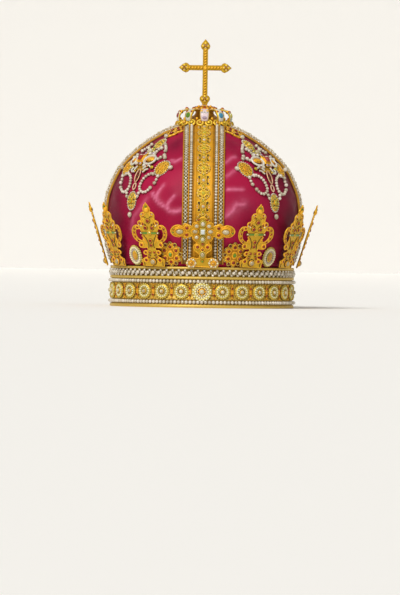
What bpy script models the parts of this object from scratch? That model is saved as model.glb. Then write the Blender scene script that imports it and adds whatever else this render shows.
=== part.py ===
"""A jewelled mitre with a bulbous silk dome: lining, four silk panels, a gold circlet with pearl strings,
four gold straps, leaning fleurons, a front cross, studs, panel sprays and a finial that carries a cross.

Metres, +Z up, front towards -Y. The origin is the middle of the circlet's lower rim. Angles run from the
front towards +X. Arcs run up the silk's outer face from the circlet's top edge."""

import math

import bmesh
import bpy
from mathutils import Matrix, Vector

GAP = 0.0003  # between pieces that touch
SEAT = 0.0001  # flat-backed pieces on the curved silk
QUARTERS = {"front": 0.0, "right": 90.0, "back": 180.0, "left": 270.0}
CORNERS = {"front_right": 45.0, "back_right": 135.0, "back_left": 225.0, "front_left": 315.0}

# Silk dome, as its outer face.
DOME_PROFILE = (
    # radius, height
    (0.0958, 0.0440),
    (0.1005, 0.0595),
    (0.1034, 0.0730),
    (0.1048, 0.0883),
    (0.1048, 0.1013),
    (0.1030, 0.1180),
    (0.0977, 0.1334),
    (0.0900, 0.1484),
    (0.0790, 0.1613),
    (0.0644, 0.1744),
    (0.0507, 0.1838),
    (0.0402, 0.1896),
    (0.0254, 0.1949),
    (0.0000, 0.1985),
)
PROFILE_STEPS = 12  # straight pieces between two rows of the table
CLOTH = 0.0020  # wall of the silk and of the lining
DOME_SIDES = 24
DOME_ROWS = 9
CROWN_HOLE = 0.0085  # radius where the silk panels stop, under the finial

# Circlet.
CIRCLET_SIDES = 42
CIRCLET_HEIGHT = 0.0437
CIRCLET_INSIDE = 0.0955
CIRCLET_CHANNEL = 0.0973  # floor that strings and medallions sit on
CIRCLET_FILLET = 0.0993
RIM_LIP_INSIDE = 0.0932
RIM_LIP_HEIGHT = 0.0015
CIRCLET_FILLETS = (
    # lower edge, upper edge
    (0.0000, 0.0040),
    (0.0303, 0.0335),
    (0.0410, CIRCLET_HEIGHT),
)
MEDALLIONS = 28
MEDALLION_RADIUS = 0.0088
MEDALLION_HEIGHT = 0.0024
MEDALLION_SINK = 0.0004
MEDALLION_LEVEL = 0.0172
MEDALLION_SIDES = 6
STRING_DIAMETER = 0.0036
STRING_LEVELS = {"lower": 0.0061, "upper": 0.0282}
BRAID = {"low": 0.0338, "high": 0.0407, "thick": 0.0030, "edge": 0.0012}

# Straps, as heights over the silk.
STRAP_HALF_WIDTH = 0.0225
STRAP_FLOOR = GAP + 0.0010
STRAP_PLATEAU_HALF = 0.0109
STRAP_PLATEAU = 0.0024
STRAP_START = 0.0028  # arc, over the feet of the plates
STRAP_END_RADIUS = 0.0232
STRINGS_START = 0.0075  # arc
STRINGS_END_RADIUS = 0.0242
STRAP_STRINGS = (
    # across, height over the strap's floor
    (0.0113, 0.0000),
    (0.0218, 0.0000),
    (0.0205, 0.0024),
    (0.0168, 0.0024),
    (0.0157, 0.0012),
    (0.0148, 0.0027),
    (0.0121, 0.0027),
)

# Fleurons: flat pierced plates that lean outwards from a foot on the circlet's ledge.
PLATE = 0.0012
PLATE_BASE_RADIUS = 0.1012
PLATE_REACH = 0.0214  # how far a tip leans past its base
FLEURON_STEP = 30.0
FOOT = {"inside": 0.0979, "outside": 0.1018, "height": 0.0012, "half_width": 0.0100}
FLEURON_OUTLINE = (
    # across, along the plate
    (0.0124, 0.0000),
    (0.0134, 0.0078),
    (0.0057, 0.0132),
    (0.0109, 0.0160),
    (0.0052, 0.0186),
    (0.0134, 0.0218),
    (0.0146, 0.0262),
    (0.0208, 0.0338),
    (0.0214, 0.0392),
    (0.0196, 0.0436),
    (0.0155, 0.0460),
    (0.0122, 0.0446),
    (0.0116, 0.0512),
    (0.0086, 0.0530),
    (0.0088, 0.0572),
    (0.0066, 0.0602),
    (0.0028, 0.0602),
    (0.0047, 0.0636),
    (0.0018, 0.0674),
    (0.0000, 0.0714),
)
HANDLE_HOLE = (
    (0.0106, 0.0418),
    (0.0074, 0.0318),
    (0.0108, 0.0292),
    (0.0160, 0.0336),
    (0.0172, 0.0396),
    (0.0148, 0.0426),
)
UPPER_HOLE = (
    (0.0058, 0.0446),
    (0.0094, 0.0488),
    (0.0060, 0.0516),
)
FLEURON_STONES = (
    # across, along, radius, height, sides
    (0.0, 0.0052, 0.0026, 0.0022, 6),
    (0.0, 0.0504, 0.0022, 0.0014, 6),
)
FLEURON_BAR = {"along": 0.0378, "half_width": 0.0092, "half_height": 0.0015, "height": 0.0009}
CROSS_PLATE_OUTLINE = (
    (0.0156, 0.0000),
    (0.0170, 0.0055),
    (0.0115, 0.0108),
    (0.0046, 0.0100),
    (0.0034, 0.0150),
    (0.0090, 0.0204),
    (0.0090, 0.0256),
    (0.0058, 0.0280),
    (0.0104, 0.0326),
    (0.0110, 0.0362),
    (0.0150, 0.0346),
    (0.0193, 0.0332),
    (0.0215, 0.0366),
    (0.0250, 0.0349),
    (0.0310, 0.0363),
    (0.0342, 0.0416),
    (0.0310, 0.0469),
    (0.0250, 0.0483),
    (0.0215, 0.0466),
    (0.0193, 0.0500),
    (0.0150, 0.0486),
    (0.0110, 0.0470),
    (0.0104, 0.0506),
    (0.0060, 0.0520),
    (0.0034, 0.0562),
    (0.0000, 0.0574),
)
CROSS_PLATE_STONES = (
    (0.0, 0.0416, 0.0034, 0.0026, 8),
    (0.0, 0.0330, 0.0026, 0.0020, 6),
    (0.0, 0.0500, 0.0026, 0.0018, 6),
    (-0.0085, 0.0416, 0.0026, 0.0020, 6),
    (0.0085, 0.0416, 0.0026, 0.0020, 6),
    (-0.0272, 0.0416, 0.0032, 0.0024, 6),
    (0.0272, 0.0416, 0.0032, 0.0024, 6),
    (0.0, 0.0126, 0.0020, 0.0016, 6),
)

# Studs between the fleurons, and the ornaments of the silk panels.
ROSETTE = {"beside": 19.5, "arc": 0.0140, "radius": 0.0108, "top": 0.0082, "height": 0.0026}
PEARL_STUD = {"arc": 0.0122, "radius": 0.0110, "top": 0.0088, "height": 0.0024}
STUD_STONE = {"radius": 0.0036, "height": 0.0016}
SPRAY_TURN = 2.0  # each spray's middle lies this far past its panel's middle, towards the nearer side strap
SPRAY_DISCS = (
    # across, arc, radius across, radius along, height
    (0.0000, 0.1115, 0.0130, 0.0115, 0.0038),
    (0.0000, 0.1440, 0.0064, 0.0084, 0.0030),
    (0.0000, 0.0705, 0.0066, 0.0100, 0.0030),
    (0.0280, 0.1085, 0.0076, 0.0080, 0.0030),
    (-0.0280, 0.1085, 0.0076, 0.0080, 0.0030),
)
SPRAY_DISC_SIDES = 8
SPRAY_BAR = 0.0015  # half side of the bars
SPRAY_BARS = (
    # across and arc of each point
    ((0.0, 0.0545), (0.0, 0.0705), (0.0, 0.0880), (0.0, 0.1040)),
    ((0.0, 0.1200), (0.0, 0.1380), (0.0, 0.1560)),
    ((0.0100, 0.1100), (0.0260, 0.1087), (0.0395, 0.1070)),
    ((-0.0100, 0.1100), (-0.0260, 0.1087), (-0.0395, 0.1070)),
    ((0.0070, 0.1020), (0.0130, 0.0910), (0.0045, 0.0770)),
    ((-0.0070, 0.1020), (-0.0130, 0.0910), (-0.0045, 0.0770)),
    ((0.0250, 0.1140), (0.0170, 0.1280), (0.0035, 0.1380)),
    ((-0.0250, 0.1140), (-0.0170, 0.1280), (-0.0035, 0.1380)),
)
CLUSTER = (
    # across, arc, half side, height
    (0.0000, 0.1643, 0.0048, 0.0022),
    (0.0046, 0.1709, 0.0037, 0.0022),
    (-0.0046, 0.1709, 0.0037, 0.0022),
    (0.0000, 0.1752, 0.0032, 0.0026),
)

# Finial and its cross.
FINIAL_SIDES = 20
FINIAL_SECTION = (
    # radius, height: from the seat on the strings out round the rim, then up the middle boss
    (0.0222, 0.1993),
    (0.0312, 0.1984),
    (0.0312, 0.2008),
    (0.0266, 0.2012),
    (0.0100, 0.2027),
    (0.0068, 0.2072),
    (0.0098, 0.2118),
    (0.0092, 0.2148),
    (0.0052, 0.2174),
    (0.0026, 0.2180),
)
PETALS = 10
PETAL_PATH = (
    # radius, height, half width
    (0.0280, 0.2010, 0.0036),
    (0.0282, 0.2066, 0.0046),
    (0.0250, 0.2112, 0.0042),
    (0.0190, 0.2126, 0.0032),
    (0.0080, 0.2122, 0.0018),
)
PETAL_THICK = 0.0014
CROSS_DEPTH = 0.0045
CROSS_OUTLINE = (
    # across, height: the right half, from the foot up
    (0.0022, 0.2183),
    (0.0022, 0.2205),
    (0.0057, 0.2258),
    (0.0029, 0.2300),
    (0.0029, 0.2560),
    (0.0180, 0.2560),
    (0.0218, 0.2539),
    (0.0286, 0.2587),
    (0.0218, 0.2635),
    (0.0180, 0.2614),
    (0.0029, 0.2614),
    (0.0029, 0.2790),
    (0.0049, 0.2826),
    (0.0000, 0.2897),
)

FINISHES = {
    # linear red, green, blue, then roughness and metallic
    "silk": (0.40, 0.010, 0.055, 0.30, 0.0),
    "lining": (0.30, 0.115, 0.125, 0.85, 0.0),
    "gold": (0.80, 0.45, 0.07, 0.30, 1.0),
    "pearl": (0.80, 0.77, 0.70, 0.25, 0.0),
}


def clear_scene():
    for obj in list(bpy.data.objects):
        bpy.data.objects.remove(obj, do_unlink=True)


def make_finish(name):
    *colour, roughness, metallic = FINISHES[name]
    finish = bpy.data.materials.new(name)
    finish.use_nodes = True
    shader = finish.node_tree.nodes["Principled BSDF"]
    shader.inputs["Base Color"].default_value = (*colour, 1.0)
    shader.inputs["Roughness"].default_value = roughness
    shader.inputs["Metallic"].default_value = metallic
    return finish


def finish_of(name):
    return bpy.data.materials.get(name) or make_finish(name)


def add_object(name, data, finish=None, place=None, helper=False):
    obj = bpy.data.objects.new(name, data)
    bpy.context.scene.collection.objects.link(obj)
    if finish:
        data.materials.clear()
        data.materials.append(finish_of(finish))
    if place:
        obj.matrix_world = place
    if helper:
        obj.hide_render = True
        obj.display_type = "WIRE"
    return obj


def mesh_from(bm, name):
    bmesh.ops.recalc_face_normals(bm, faces=bm.faces)
    mesh = bpy.data.meshes.new(name)
    bm.to_mesh(mesh)
    bm.free()
    return mesh


def loft_mesh(name, rings, closed=False):
    """Skins rings of equal length. A closed loft joins its last ring to the first, an open one is capped."""
    bm = bmesh.new()
    loops = [[bm.verts.new(point) for point in ring] for ring in rings]
    following = loops[1:] + loops[:1] if closed else loops[1:]
    for low, high in zip(loops, following):
        for i, corner in enumerate(low):
            j = (i + 1) % len(low)
            bm.faces.new((corner, low[j], high[j], high[i]))
    if not closed:
        bm.faces.new(loops[0])
        bm.faces.new(loops[-1])
    return mesh_from(bm, name)


def evaluated_mesh(obj):
    bpy.context.view_layer.update()
    graph = bpy.context.evaluated_depsgraph_get()
    return bpy.data.meshes.new_from_object(obj.evaluated_get(graph))


def fused_mesh(name, meshes):
    """The Boolean union of several overlapping closed meshes, which are all in one frame."""
    body = add_object(name + "_body", meshes[0], helper=True)
    joined = [add_object(name + "_joined", mesh, helper=True) for mesh in meshes[1:]]
    for piece in joined:
        union = body.modifiers.new("union", "BOOLEAN")
        union.operation = "UNION"
        union.object = piece
    mesh = evaluated_mesh(body)
    mesh.name = name
    for piece in [body, *joined]:
        bpy.data.objects.remove(piece, do_unlink=True)
    return mesh


def plate_mesh(outline, holes=()):
    """A flat plate of PLATE thickness on local Z 0, cut through by its holes."""
    curve = bpy.data.curves.new("plate", "CURVE")
    curve.dimensions = "2D"
    curve.fill_mode = "BOTH"
    curve.extrude = PLATE / 2
    for points in (outline, *holes):
        spline = curve.splines.new("POLY")
        spline.points.add(len(points) - 1)
        for point, (across, along) in zip(spline.points, points):
            point.co = (across, along, 0.0, 1.0)
        spline.use_cyclic_u = True
    obj = add_object("plate", curve, helper=True)
    bm = bmesh.new()
    bm.from_mesh(evaluated_mesh(obj))
    bpy.data.objects.remove(obj, do_unlink=True)
    bmesh.ops.remove_doubles(bm, verts=bm.verts, dist=1e-6)
    bmesh.ops.translate(bm, verts=bm.verts, vec=(0, 0, PLATE / 2))
    return mesh_from(bm, "plate")


def boss_mesh(across, along, radii, height, sides, base=0.0, taper=0.5, turn=0.0):
    """A low faceted boss whose foot starts at local Z base, with radii across and along."""
    bm = bmesh.new()
    bmesh.ops.create_cone(bm, cap_ends=True, segments=sides, radius1=1.0, radius2=taper, depth=height)
    shape = Matrix.Diagonal((*radii, 1.0, 1.0)) @ Matrix.Rotation(math.radians(turn), 4, "Z")
    bmesh.ops.transform(bm, matrix=shape, verts=bm.verts)
    bmesh.ops.translate(bm, verts=bm.verts, vec=(across, along, base + height / 2))
    return mesh_from(bm, "boss")


def both_sides(half):
    """A closed outline from its right half, whose last point may lie on the centre line."""
    left = [(-across, along) for across, along in reversed(half) if across > 0]
    return [*half, *left]


def directions(angle):
    """Unit vectors outwards and sideways at an angle round the mitre, in degrees."""
    turn = math.radians(angle)
    return Vector((math.sin(turn), -math.cos(turn), 0)), Vector((math.cos(turn), math.sin(turn), 0))


def frame_at(origin, side, up, out):
    turn = Matrix((side, up, out)).transposed().to_4x4()
    return Matrix.Translation(origin) @ turn


def profile_rows():
    """The dome's profile as fine rows of arc, radius and height, on a Catmull-Rom curve."""
    ends = (DOME_PROFILE[0], *DOME_PROFILE, DOME_PROFILE[-1])
    points = []
    for before, start, end, after in zip(ends, ends[1:], ends[2:], ends[3:]):
        for step in range(PROFILE_STEPS):
            t = step / PROFILE_STEPS
            points.append([
                b + t / 2 * (c - a + t * (2 * a - 5 * b + 4 * c - d + t * (3 * b - a - 3 * c + d)))
                for a, b, c, d in zip(before, start, end, after)
            ])
    points.append(list(DOME_PROFILE[-1]))
    rows = [(0.0, *points[0])]
    for point, last in zip(points[1:], points):
        rows.append((rows[-1][0] + math.dist(point, last), *point))
    return rows


ROWS = profile_rows()


def dome_at(arc):
    """Radius, height and the outward normal's two parts at an arc of the dome."""
    place = max(1, min(len(ROWS) - 1, sum(row[0] < arc for row in ROWS)))
    (arc0, radius0, height0), (arc1, radius1, height1) = ROWS[place - 1], ROWS[place]
    share = (arc - arc0) / (arc1 - arc0)
    run, rise = radius1 - radius0, height1 - height0
    length = math.hypot(run, rise)
    return radius0 + share * run, height0 + share * rise, rise / length, -run / length


def arc_at_radius(radius):
    """The arc on the crown where the dome has narrowed to a radius."""
    return next(row[0] for row in reversed(ROWS) if row[1] >= radius)


def on_dome(angle, arc, across=0.0, lift=0.0):
    """A point over the dome's face, across metres round from the meridian at angle."""
    radius, height, normal_out, normal_up = dome_at(arc)
    out, _ = directions(angle + math.degrees(across / radius))
    return out * (radius + lift * normal_out) + Vector((0, 0, height + lift * normal_up))


def on_strap(angle, arc, across, lift):
    """A point over the dome at a constant distance from the meridian, as on a straight band."""
    radius, height, normal_out, normal_up = dome_at(arc)
    bend = radius / normal_out
    out, side = directions(angle)
    normal = out * normal_out + Vector((0, 0, normal_up))
    turn = across / bend
    centre = Vector((0, 0, height - bend * normal_up))
    return centre + (side * math.sin(turn) + normal * math.cos(turn)) * (bend + lift)


def dome_frame(angle, arc, across=0.0, lift=0.0):
    """A frame on the dome's face: X sideways, Y up the dome and Z outwards."""
    radius, _, normal_out, normal_up = dome_at(arc)
    out, side = directions(angle + math.degrees(across / radius))
    normal = out * normal_out + Vector((0, 0, normal_up))
    return frame_at(on_dome(angle, arc, across, lift), side, normal.cross(side), normal)


def dome_arcs():
    """Arcs of the rows that silk, lining and straps share, so that their facets lie parallel."""
    last = arc_at_radius(CROWN_HOLE)
    return [last * row / DOME_ROWS for row in range(DOME_ROWS + 1)]


def make_silk_panels():
    """Four panels that meet under the straps and stand on the circlet's top edge."""
    step = 360.0 / DOME_SIDES
    seam = math.degrees(GAP / 2 / DOME_PROFILE[0][0])
    for name, middle in CORNERS.items():
        angles = [middle - 45.0 + step * i for i in range(DOME_SIDES // 4 + 1)]
        angles[0] += seam
        angles[-1] -= seam
        rings = []
        for arc in dome_arcs():
            outside = [on_dome(angle, arc) for angle in angles]
            inside = [on_dome(angle, arc, lift=-CLOTH) for angle in reversed(angles)]
            rings.append(outside + inside)
        add_object(f"silk_panel_{name}", loft_mesh("silk_panel", rings), "silk")


def make_lining():
    """One cap inside the circlet and the silk. Its mouth stands on the circlet's lip."""
    wall_outside = CIRCLET_INSIDE - 2 * GAP
    levels = (RIM_LIP_HEIGHT + GAP, DOME_PROFILE[0][1] - GAP)
    outer = [(wall_outside, level) for level in levels]
    inner = [(wall_outside - CLOTH, level) for level in levels]
    for arc in dome_arcs():
        radius, height, normal_out, normal_up = dome_at(arc)
        for line, depth in ((outer, CLOTH + GAP), (inner, 2 * CLOTH + GAP)):
            line.append((radius - depth * normal_out, height - depth * normal_up))
    angles = [360.0 * i / DOME_SIDES for i in range(DOME_SIDES)]
    rings = [
        [directions(angle)[0] * radius + Vector((0, 0, height)) for angle in angles]
        for radius, height in [*reversed(inner), *outer]
    ]
    add_object("lining", loft_mesh("lining", rings), "lining")


def circlet_section():
    section = [(RIM_LIP_INSIDE, 0.0)]
    for low, high in CIRCLET_FILLETS:
        if low > 0:
            section.append((CIRCLET_CHANNEL, low))
        section.append((CIRCLET_FILLET, low))
        section.append((CIRCLET_FILLET, high))
        if high < CIRCLET_HEIGHT:
            section.append((CIRCLET_CHANNEL, high))
    section.append((CIRCLET_INSIDE, CIRCLET_HEIGHT))
    section.append((CIRCLET_INSIDE, RIM_LIP_HEIGHT))
    section.append((RIM_LIP_INSIDE, RIM_LIP_HEIGHT))
    return section


def ring_mesh(name, section, sides):
    rings = []
    for i in range(sides):
        out, _ = directions(360.0 * i / sides)
        rings.append([out * radius + Vector((0, 0, height)) for radius, height in section])
    return loft_mesh(name, rings, closed=True)


def facet_radius(radius, angle):
    """Distance from the axis to the circlet's faceted face at an angle."""
    step = 2 * math.pi / CIRCLET_SIDES
    within = math.radians(angle) % step - step / 2
    return radius * math.cos(step / 2) / math.cos(within)


def make_circlet():
    """The band with its three fillets, the lip under the lining and a ring of soldered medallions."""
    medallions = bmesh.new()
    for i in range(MEDALLIONS):
        angle = 360.0 * i / MEDALLIONS
        out, side = directions(angle)
        foot = out * (facet_radius(CIRCLET_CHANNEL, angle) - MEDALLION_SINK)
        place = frame_at(foot + Vector((0, 0, MEDALLION_LEVEL)), side, Vector((0, 0, 1)), out)
        radii = (MEDALLION_RADIUS, MEDALLION_RADIUS)
        boss = boss_mesh(0.0, 0.0, radii, MEDALLION_HEIGHT + MEDALLION_SINK, MEDALLION_SIDES)
        boss.transform(place)
        medallions.from_mesh(boss)
    band = ring_mesh("circlet", circlet_section(), CIRCLET_SIDES)
    add_object("circlet", fused_mesh("circlet", [band, mesh_from(medallions, "medallions")]), "gold")


def make_circlet_strings():
    """Two pearl strings as closed tubes, and the pearl braid as one band."""
    for name, level in STRING_LEVELS.items():
        curve = bpy.data.curves.new(f"circlet_pearls_{name}", "CURVE")
        curve.dimensions = "3D"
        curve.bevel_depth = STRING_DIAMETER / 2
        curve.bevel_resolution = 1
        spline = curve.splines.new("POLY")
        spline.points.add(CIRCLET_SIDES - 1)
        for i, point in enumerate(spline.points):
            out, _ = directions(360.0 * i / CIRCLET_SIDES)
            centre = out * (CIRCLET_CHANNEL + GAP + STRING_DIAMETER / 2) + Vector((0, 0, level))
            point.co = (*centre, 1.0)
        spline.use_cyclic_u = True
        add_object(curve.name, curve, "pearl")
    back = CIRCLET_CHANNEL + GAP
    low, high, thick, edge = BRAID.values()
    section = [
        (back, low),
        (back + thick / 2, low),
        (back + thick, low + edge),
        (back + thick, high - edge),
        (back + thick / 2, high),
        (back, high),
    ]
    add_object("circlet_pearl_braid", ring_mesh("circlet_pearl_braid", section, CIRCLET_SIDES), "pearl")


def arcs_between(start, end_radius):
    end = arc_at_radius(end_radius)
    return [start, *(arc for arc in dome_arcs() if start < arc < end), end]


def make_straps():
    """Gold straps over the dome with a raised middle, and the pearl strings in the channels beside it."""
    half, plateau = STRAP_HALF_WIDTH, STRAP_PLATEAU_HALF
    section = [
        (-half, GAP),
        (-half / 2, GAP),
        (0.0, GAP),
        (half / 2, GAP),
        (half, GAP),
        (half, STRAP_FLOOR),
        (plateau, STRAP_FLOOR),
        (plateau, STRAP_PLATEAU),
        (0.0, STRAP_PLATEAU),
        (-plateau, STRAP_PLATEAU),
        (-plateau, STRAP_FLOOR),
        (-half, STRAP_FLOOR),
    ]
    strings = [(across, STRAP_FLOOR + GAP + height) for across, height in STRAP_STRINGS]
    for name, angle in QUARTERS.items():
        rings = [
            [on_strap(angle, arc, across, lift) for across, lift in section]
            for arc in arcs_between(STRAP_START, STRAP_END_RADIUS)
        ]
        add_object(f"strap_{name}", loft_mesh("strap", rings), "gold")
        for side_name, sign in (("a", -1), ("b", 1)):
            rings = [
                [on_strap(angle, arc, sign * across, lift) for across, lift in strings]
                for arc in arcs_between(STRINGS_START, STRINGS_END_RADIUS)
            ]
            add_object(f"strap_pearls_{name}_{side_name}", loft_mesh("strap_pearls", rings), "pearl")


def plate_place(angle, length):
    """Frame of a plate whose tip leans PLATE_REACH past its base: X sideways, Y along it and Z outwards."""
    lean = math.asin(PLATE_REACH / length)
    out, side = directions(angle)
    up = out * math.sin(lean) + Vector((0, 0, math.cos(lean)))
    base = out * PLATE_BASE_RADIUS + Vector((0, 0, CIRCLET_HEIGHT))
    return frame_at(base, side, up, side.cross(up))


def foot_mesh(place):
    """The tab that carries a plate on the circlet's ledge, in the plate's own frame."""
    bm = bmesh.new()
    bmesh.ops.create_cube(bm, size=1.0)
    depth = FOOT["outside"] - FOOT["inside"]
    size = Matrix.Diagonal((2 * FOOT["half_width"], depth, FOOT["height"], 1.0))
    middle = Vector((0, -FOOT["inside"] - depth / 2, CIRCLET_HEIGHT + GAP + FOOT["height"] / 2))
    bmesh.ops.transform(bm, matrix=place.inverted() @ Matrix.Translation(middle) @ size, verts=bm.verts)
    return mesh_from(bm, "foot")


def ornament_mesh(name, outline, holes, stones, more=()):
    """A plate with its foot and its stones, all fused."""
    bosses = [
        boss_mesh(across, along, (radius, radius), height + PLATE / 2, sides, base=PLATE / 2)
        for across, along, radius, height, sides in stones
    ]
    length = max(along for _, along in outline)
    meshes = [plate_mesh(outline, holes), foot_mesh(plate_place(0.0, length)), *bosses, *more]
    return fused_mesh(name, meshes), length


def make_fleurons():
    right_holes = (HANDLE_HOLE, UPPER_HOLE)
    holes = [[(sign * across, along) for across, along in hole] for hole in right_holes for sign in (1, -1)]
    corner = math.sqrt(2)
    radii = (FLEURON_BAR["half_width"] * corner, FLEURON_BAR["half_height"] * corner)
    height = FLEURON_BAR["height"] + PLATE / 2
    bar = boss_mesh(0.0, FLEURON_BAR["along"], radii, height, 4, base=PLATE / 2, taper=0.8, turn=45.0)
    mesh, length = ornament_mesh("fleuron", both_sides(FLEURON_OUTLINE), holes, FLEURON_STONES, [bar])
    for i in range(1, round(360.0 / FLEURON_STEP)):
        add_object(f"fleuron_{i:02d}", mesh, "gold", plate_place(FLEURON_STEP * i, length))
    mesh, length = ornament_mesh("front_cross", both_sides(CROSS_PLATE_OUTLINE), (), CROSS_PLATE_STONES)
    add_object("front_cross", mesh, "gold", plate_place(0.0, length))


def stud_mesh(name, size, sides):
    taper = size["top"] / size["radius"]
    base = boss_mesh(0.0, 0.0, (size["radius"],) * 2, size["height"], sides, taper=taper)
    radii = (STUD_STONE["radius"],) * 2
    stone = boss_mesh(0.0, 0.0, radii, STUD_STONE["height"] + size["height"] / 2, 8, base=size["height"] / 2)
    return fused_mesh(name, [base, stone])


def make_studs():
    """Gold rosettes beside each strap and a pearl-edged stud in the middle of each panel's foot."""
    rosette = stud_mesh("rosette", ROSETTE, 12)
    for name, middle in QUARTERS.items():
        for side_name, sign in (("a", -1), ("b", 1)):
            place = dome_frame(middle + sign * ROSETTE["beside"], ROSETTE["arc"], lift=SEAT)
            add_object(f"rosette_{name}_{side_name}", rosette, "gold", place)
    stud = stud_mesh("pearl_stud", PEARL_STUD, 12)
    for name, middle in CORNERS.items():
        add_object(f"pearl_stud_{name}", stud, "pearl", dome_frame(middle, PEARL_STUD["arc"], lift=SEAT))


def bar_mesh(points):
    """A square bar along points of the dome at angle 0."""
    rings = []
    for across, arc in points:
        frame = dome_frame(0.0, arc, across, SEAT + SPRAY_BAR)
        ahead = Vector((points[-1][0] - points[0][0], points[-1][1] - points[0][1], 0)).normalized()
        beside = Vector((-ahead.y, ahead.x, 0))
        turns = ((1, 1), (1, -1), (-1, -1), (-1, 1))
        rings.append([frame @ (beside * (SPRAY_BAR * a) + Vector((0, 0, SPRAY_BAR * b))) for a, b in turns])
    return loft_mesh("bar", rings)


def make_sprays():
    """A cross of oval rosettes round a middle boss on each silk panel, joined by strung bars."""
    meshes = []
    for across, arc, radius_across, radius_along, height in SPRAY_DISCS:
        disc = boss_mesh(0.0, 0.0, (radius_across, radius_along), height, SPRAY_DISC_SIDES, taper=0.6)
        disc.transform(dome_frame(0.0, arc, across, SEAT))
        meshes.append(disc)
    meshes += [bar_mesh(points) for points in SPRAY_BARS]
    spray = fused_mesh("spray", meshes)
    for name, middle in CORNERS.items():
        turn = math.copysign(SPRAY_TURN, math.sin(math.radians(2 * middle)))
        add_object(f"spray_{name}", spray, "pearl", Matrix.Rotation(math.radians(middle + turn), 4, "Z"))


def make_clusters():
    """Square collets soldered together, high on each silk panel."""
    meshes = []
    for across, arc, half, height in CLUSTER:
        corner = half * math.sqrt(2)
        collet = boss_mesh(0.0, 0.0, (corner, corner), height, 4, taper=0.85)
        collet.transform(dome_frame(0.0, arc, across, SEAT))
        meshes.append(collet)
    cluster = fused_mesh("collet_cluster", meshes)
    for name, middle in CORNERS.items():
        add_object(f"collet_cluster_{name}", cluster, "gold", Matrix.Rotation(math.radians(middle), 4, "Z"))


def make_finial():
    """A dish over the crossing of the straps, ten arched petals and a middle boss, all fused."""
    sides = [directions(360.0 * i / FINIAL_SIDES)[0] for i in range(FINIAL_SIDES)]
    rings = [[out * radius + Vector((0, 0, height)) for out in sides] for radius, height in FINIAL_SECTION]
    meshes = [loft_mesh("dish", rings)]
    for i in range(PETALS):
        out, side = directions(360.0 * i / PETALS)
        rings = []
        for radius, height, half in PETAL_PATH:
            ring = []
            for across, lift in ((-half, 0.0), (half, 0.0), (half, PETAL_THICK), (-half, PETAL_THICK)):
                ring.append(out * (radius + lift) + side * across + Vector((0, 0, height + lift)))
            rings.append(ring)
        meshes.append(loft_mesh("petal", rings))
    add_object("finial", fused_mesh("finial", meshes), "gold")


def make_cross():
    """The upright cross, as one plate with budded ends."""
    curve = bpy.data.curves.new("cross", "CURVE")
    curve.dimensions = "2D"
    curve.fill_mode = "BOTH"
    curve.extrude = CROSS_DEPTH / 2
    spline = curve.splines.new("POLY")
    points = both_sides(CROSS_OUTLINE)
    spline.points.add(len(points) - 1)
    for point, (across, height) in zip(spline.points, points):
        point.co = (across, height, 0.0, 1.0)
    spline.use_cyclic_u = True
    add_object("cross", curve, "gold", Matrix.Rotation(math.pi / 2, 4, "X"))


def main():
    clear_scene()
    make_lining()
    make_silk_panels()
    make_circlet()
    make_circlet_strings()
    make_straps()
    make_fleurons()
    make_studs()
    make_sprays()
    make_clusters()
    make_finial()
    make_cross()


main()
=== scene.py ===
import math

import bpy
import numpy as np
from mathutils import Matrix, Vector


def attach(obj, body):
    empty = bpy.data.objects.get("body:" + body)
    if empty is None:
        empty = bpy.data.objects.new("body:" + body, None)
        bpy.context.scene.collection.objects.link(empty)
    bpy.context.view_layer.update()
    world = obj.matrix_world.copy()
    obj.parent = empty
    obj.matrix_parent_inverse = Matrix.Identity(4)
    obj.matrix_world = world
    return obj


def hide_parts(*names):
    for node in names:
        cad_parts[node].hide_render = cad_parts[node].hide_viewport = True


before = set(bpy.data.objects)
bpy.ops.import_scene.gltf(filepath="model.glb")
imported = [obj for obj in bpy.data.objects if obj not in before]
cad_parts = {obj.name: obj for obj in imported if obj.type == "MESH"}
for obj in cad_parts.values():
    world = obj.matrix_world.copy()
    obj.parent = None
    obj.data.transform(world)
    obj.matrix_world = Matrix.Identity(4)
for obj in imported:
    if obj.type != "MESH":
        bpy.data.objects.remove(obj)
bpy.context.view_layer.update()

# sizes are in millimetres, and each finished mesh is scaled to metres
mm = 0.001
quarters = {"front": 0, "right": 90, "back": 180, "left": 270}
corners = {"front_right": 45, "back_right": 135, "back_left": 225, "front_left": 315}

dome = {
    # radius and height from the circlet up, the same as the solids'
    "profile": (
        (95.8, 44.0), (100.5, 59.5), (103.4, 73.0), (104.8, 88.3), (104.8, 101.3), (103.0, 118.0), (97.7, 133.4),
        (90.0, 148.4), (79.0, 161.3), (64.4, 174.4), (50.7, 183.8), (40.2, 189.6), (25.4, 194.9), (0.0, 198.5),
    ),
    "steps": 12, "crownHole": 8.5, "widest": 60.0,
}


def curveThrough(points, steps=3, closed=False):
    # a smooth line that passes each of the points
    ends = [points[-1], *points, *points[:2]] if closed else [points[0], *points, points[-1]]
    line = []
    for spans in zip(ends, ends[1:], ends[2:], ends[3:]):
        for t in np.arange(steps) / steps:
            line.append([b + t / 2 * (c - a + t * (2 * a - 5 * b + 4 * c - d + t * (3 * b - a - 3 * c + d)))
                         for a, b, c, d in zip(*spans)])
    if not closed:
        line.append(list(points[-1]))
    return np.array(line)


def lengthsAlong(line):
    return np.concatenate([[0.0], np.cumsum(np.linalg.norm(np.diff(line, axis=0), axis=1))])


def profileOf(line):
    # a profile's length at each point, with its radius, height and outward direction
    length = lengthsAlong(line)
    run, rise = np.gradient(line[:, 0], length), np.gradient(line[:, 1], length)
    size = np.hypot(run, rise)
    return length, (line[:, 0], line[:, 1], rise / size, -run / size)


def atLength(profile, place):
    return [np.interp(place, profile[0], row) for row in profile[1]]


domeProfile = profileOf(curveThrough(dome["profile"], dome["steps"]))
crownArc = float(np.interp(-dome["crownHole"], -domeProfile[1][0], domeProfile[0]))


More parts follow.
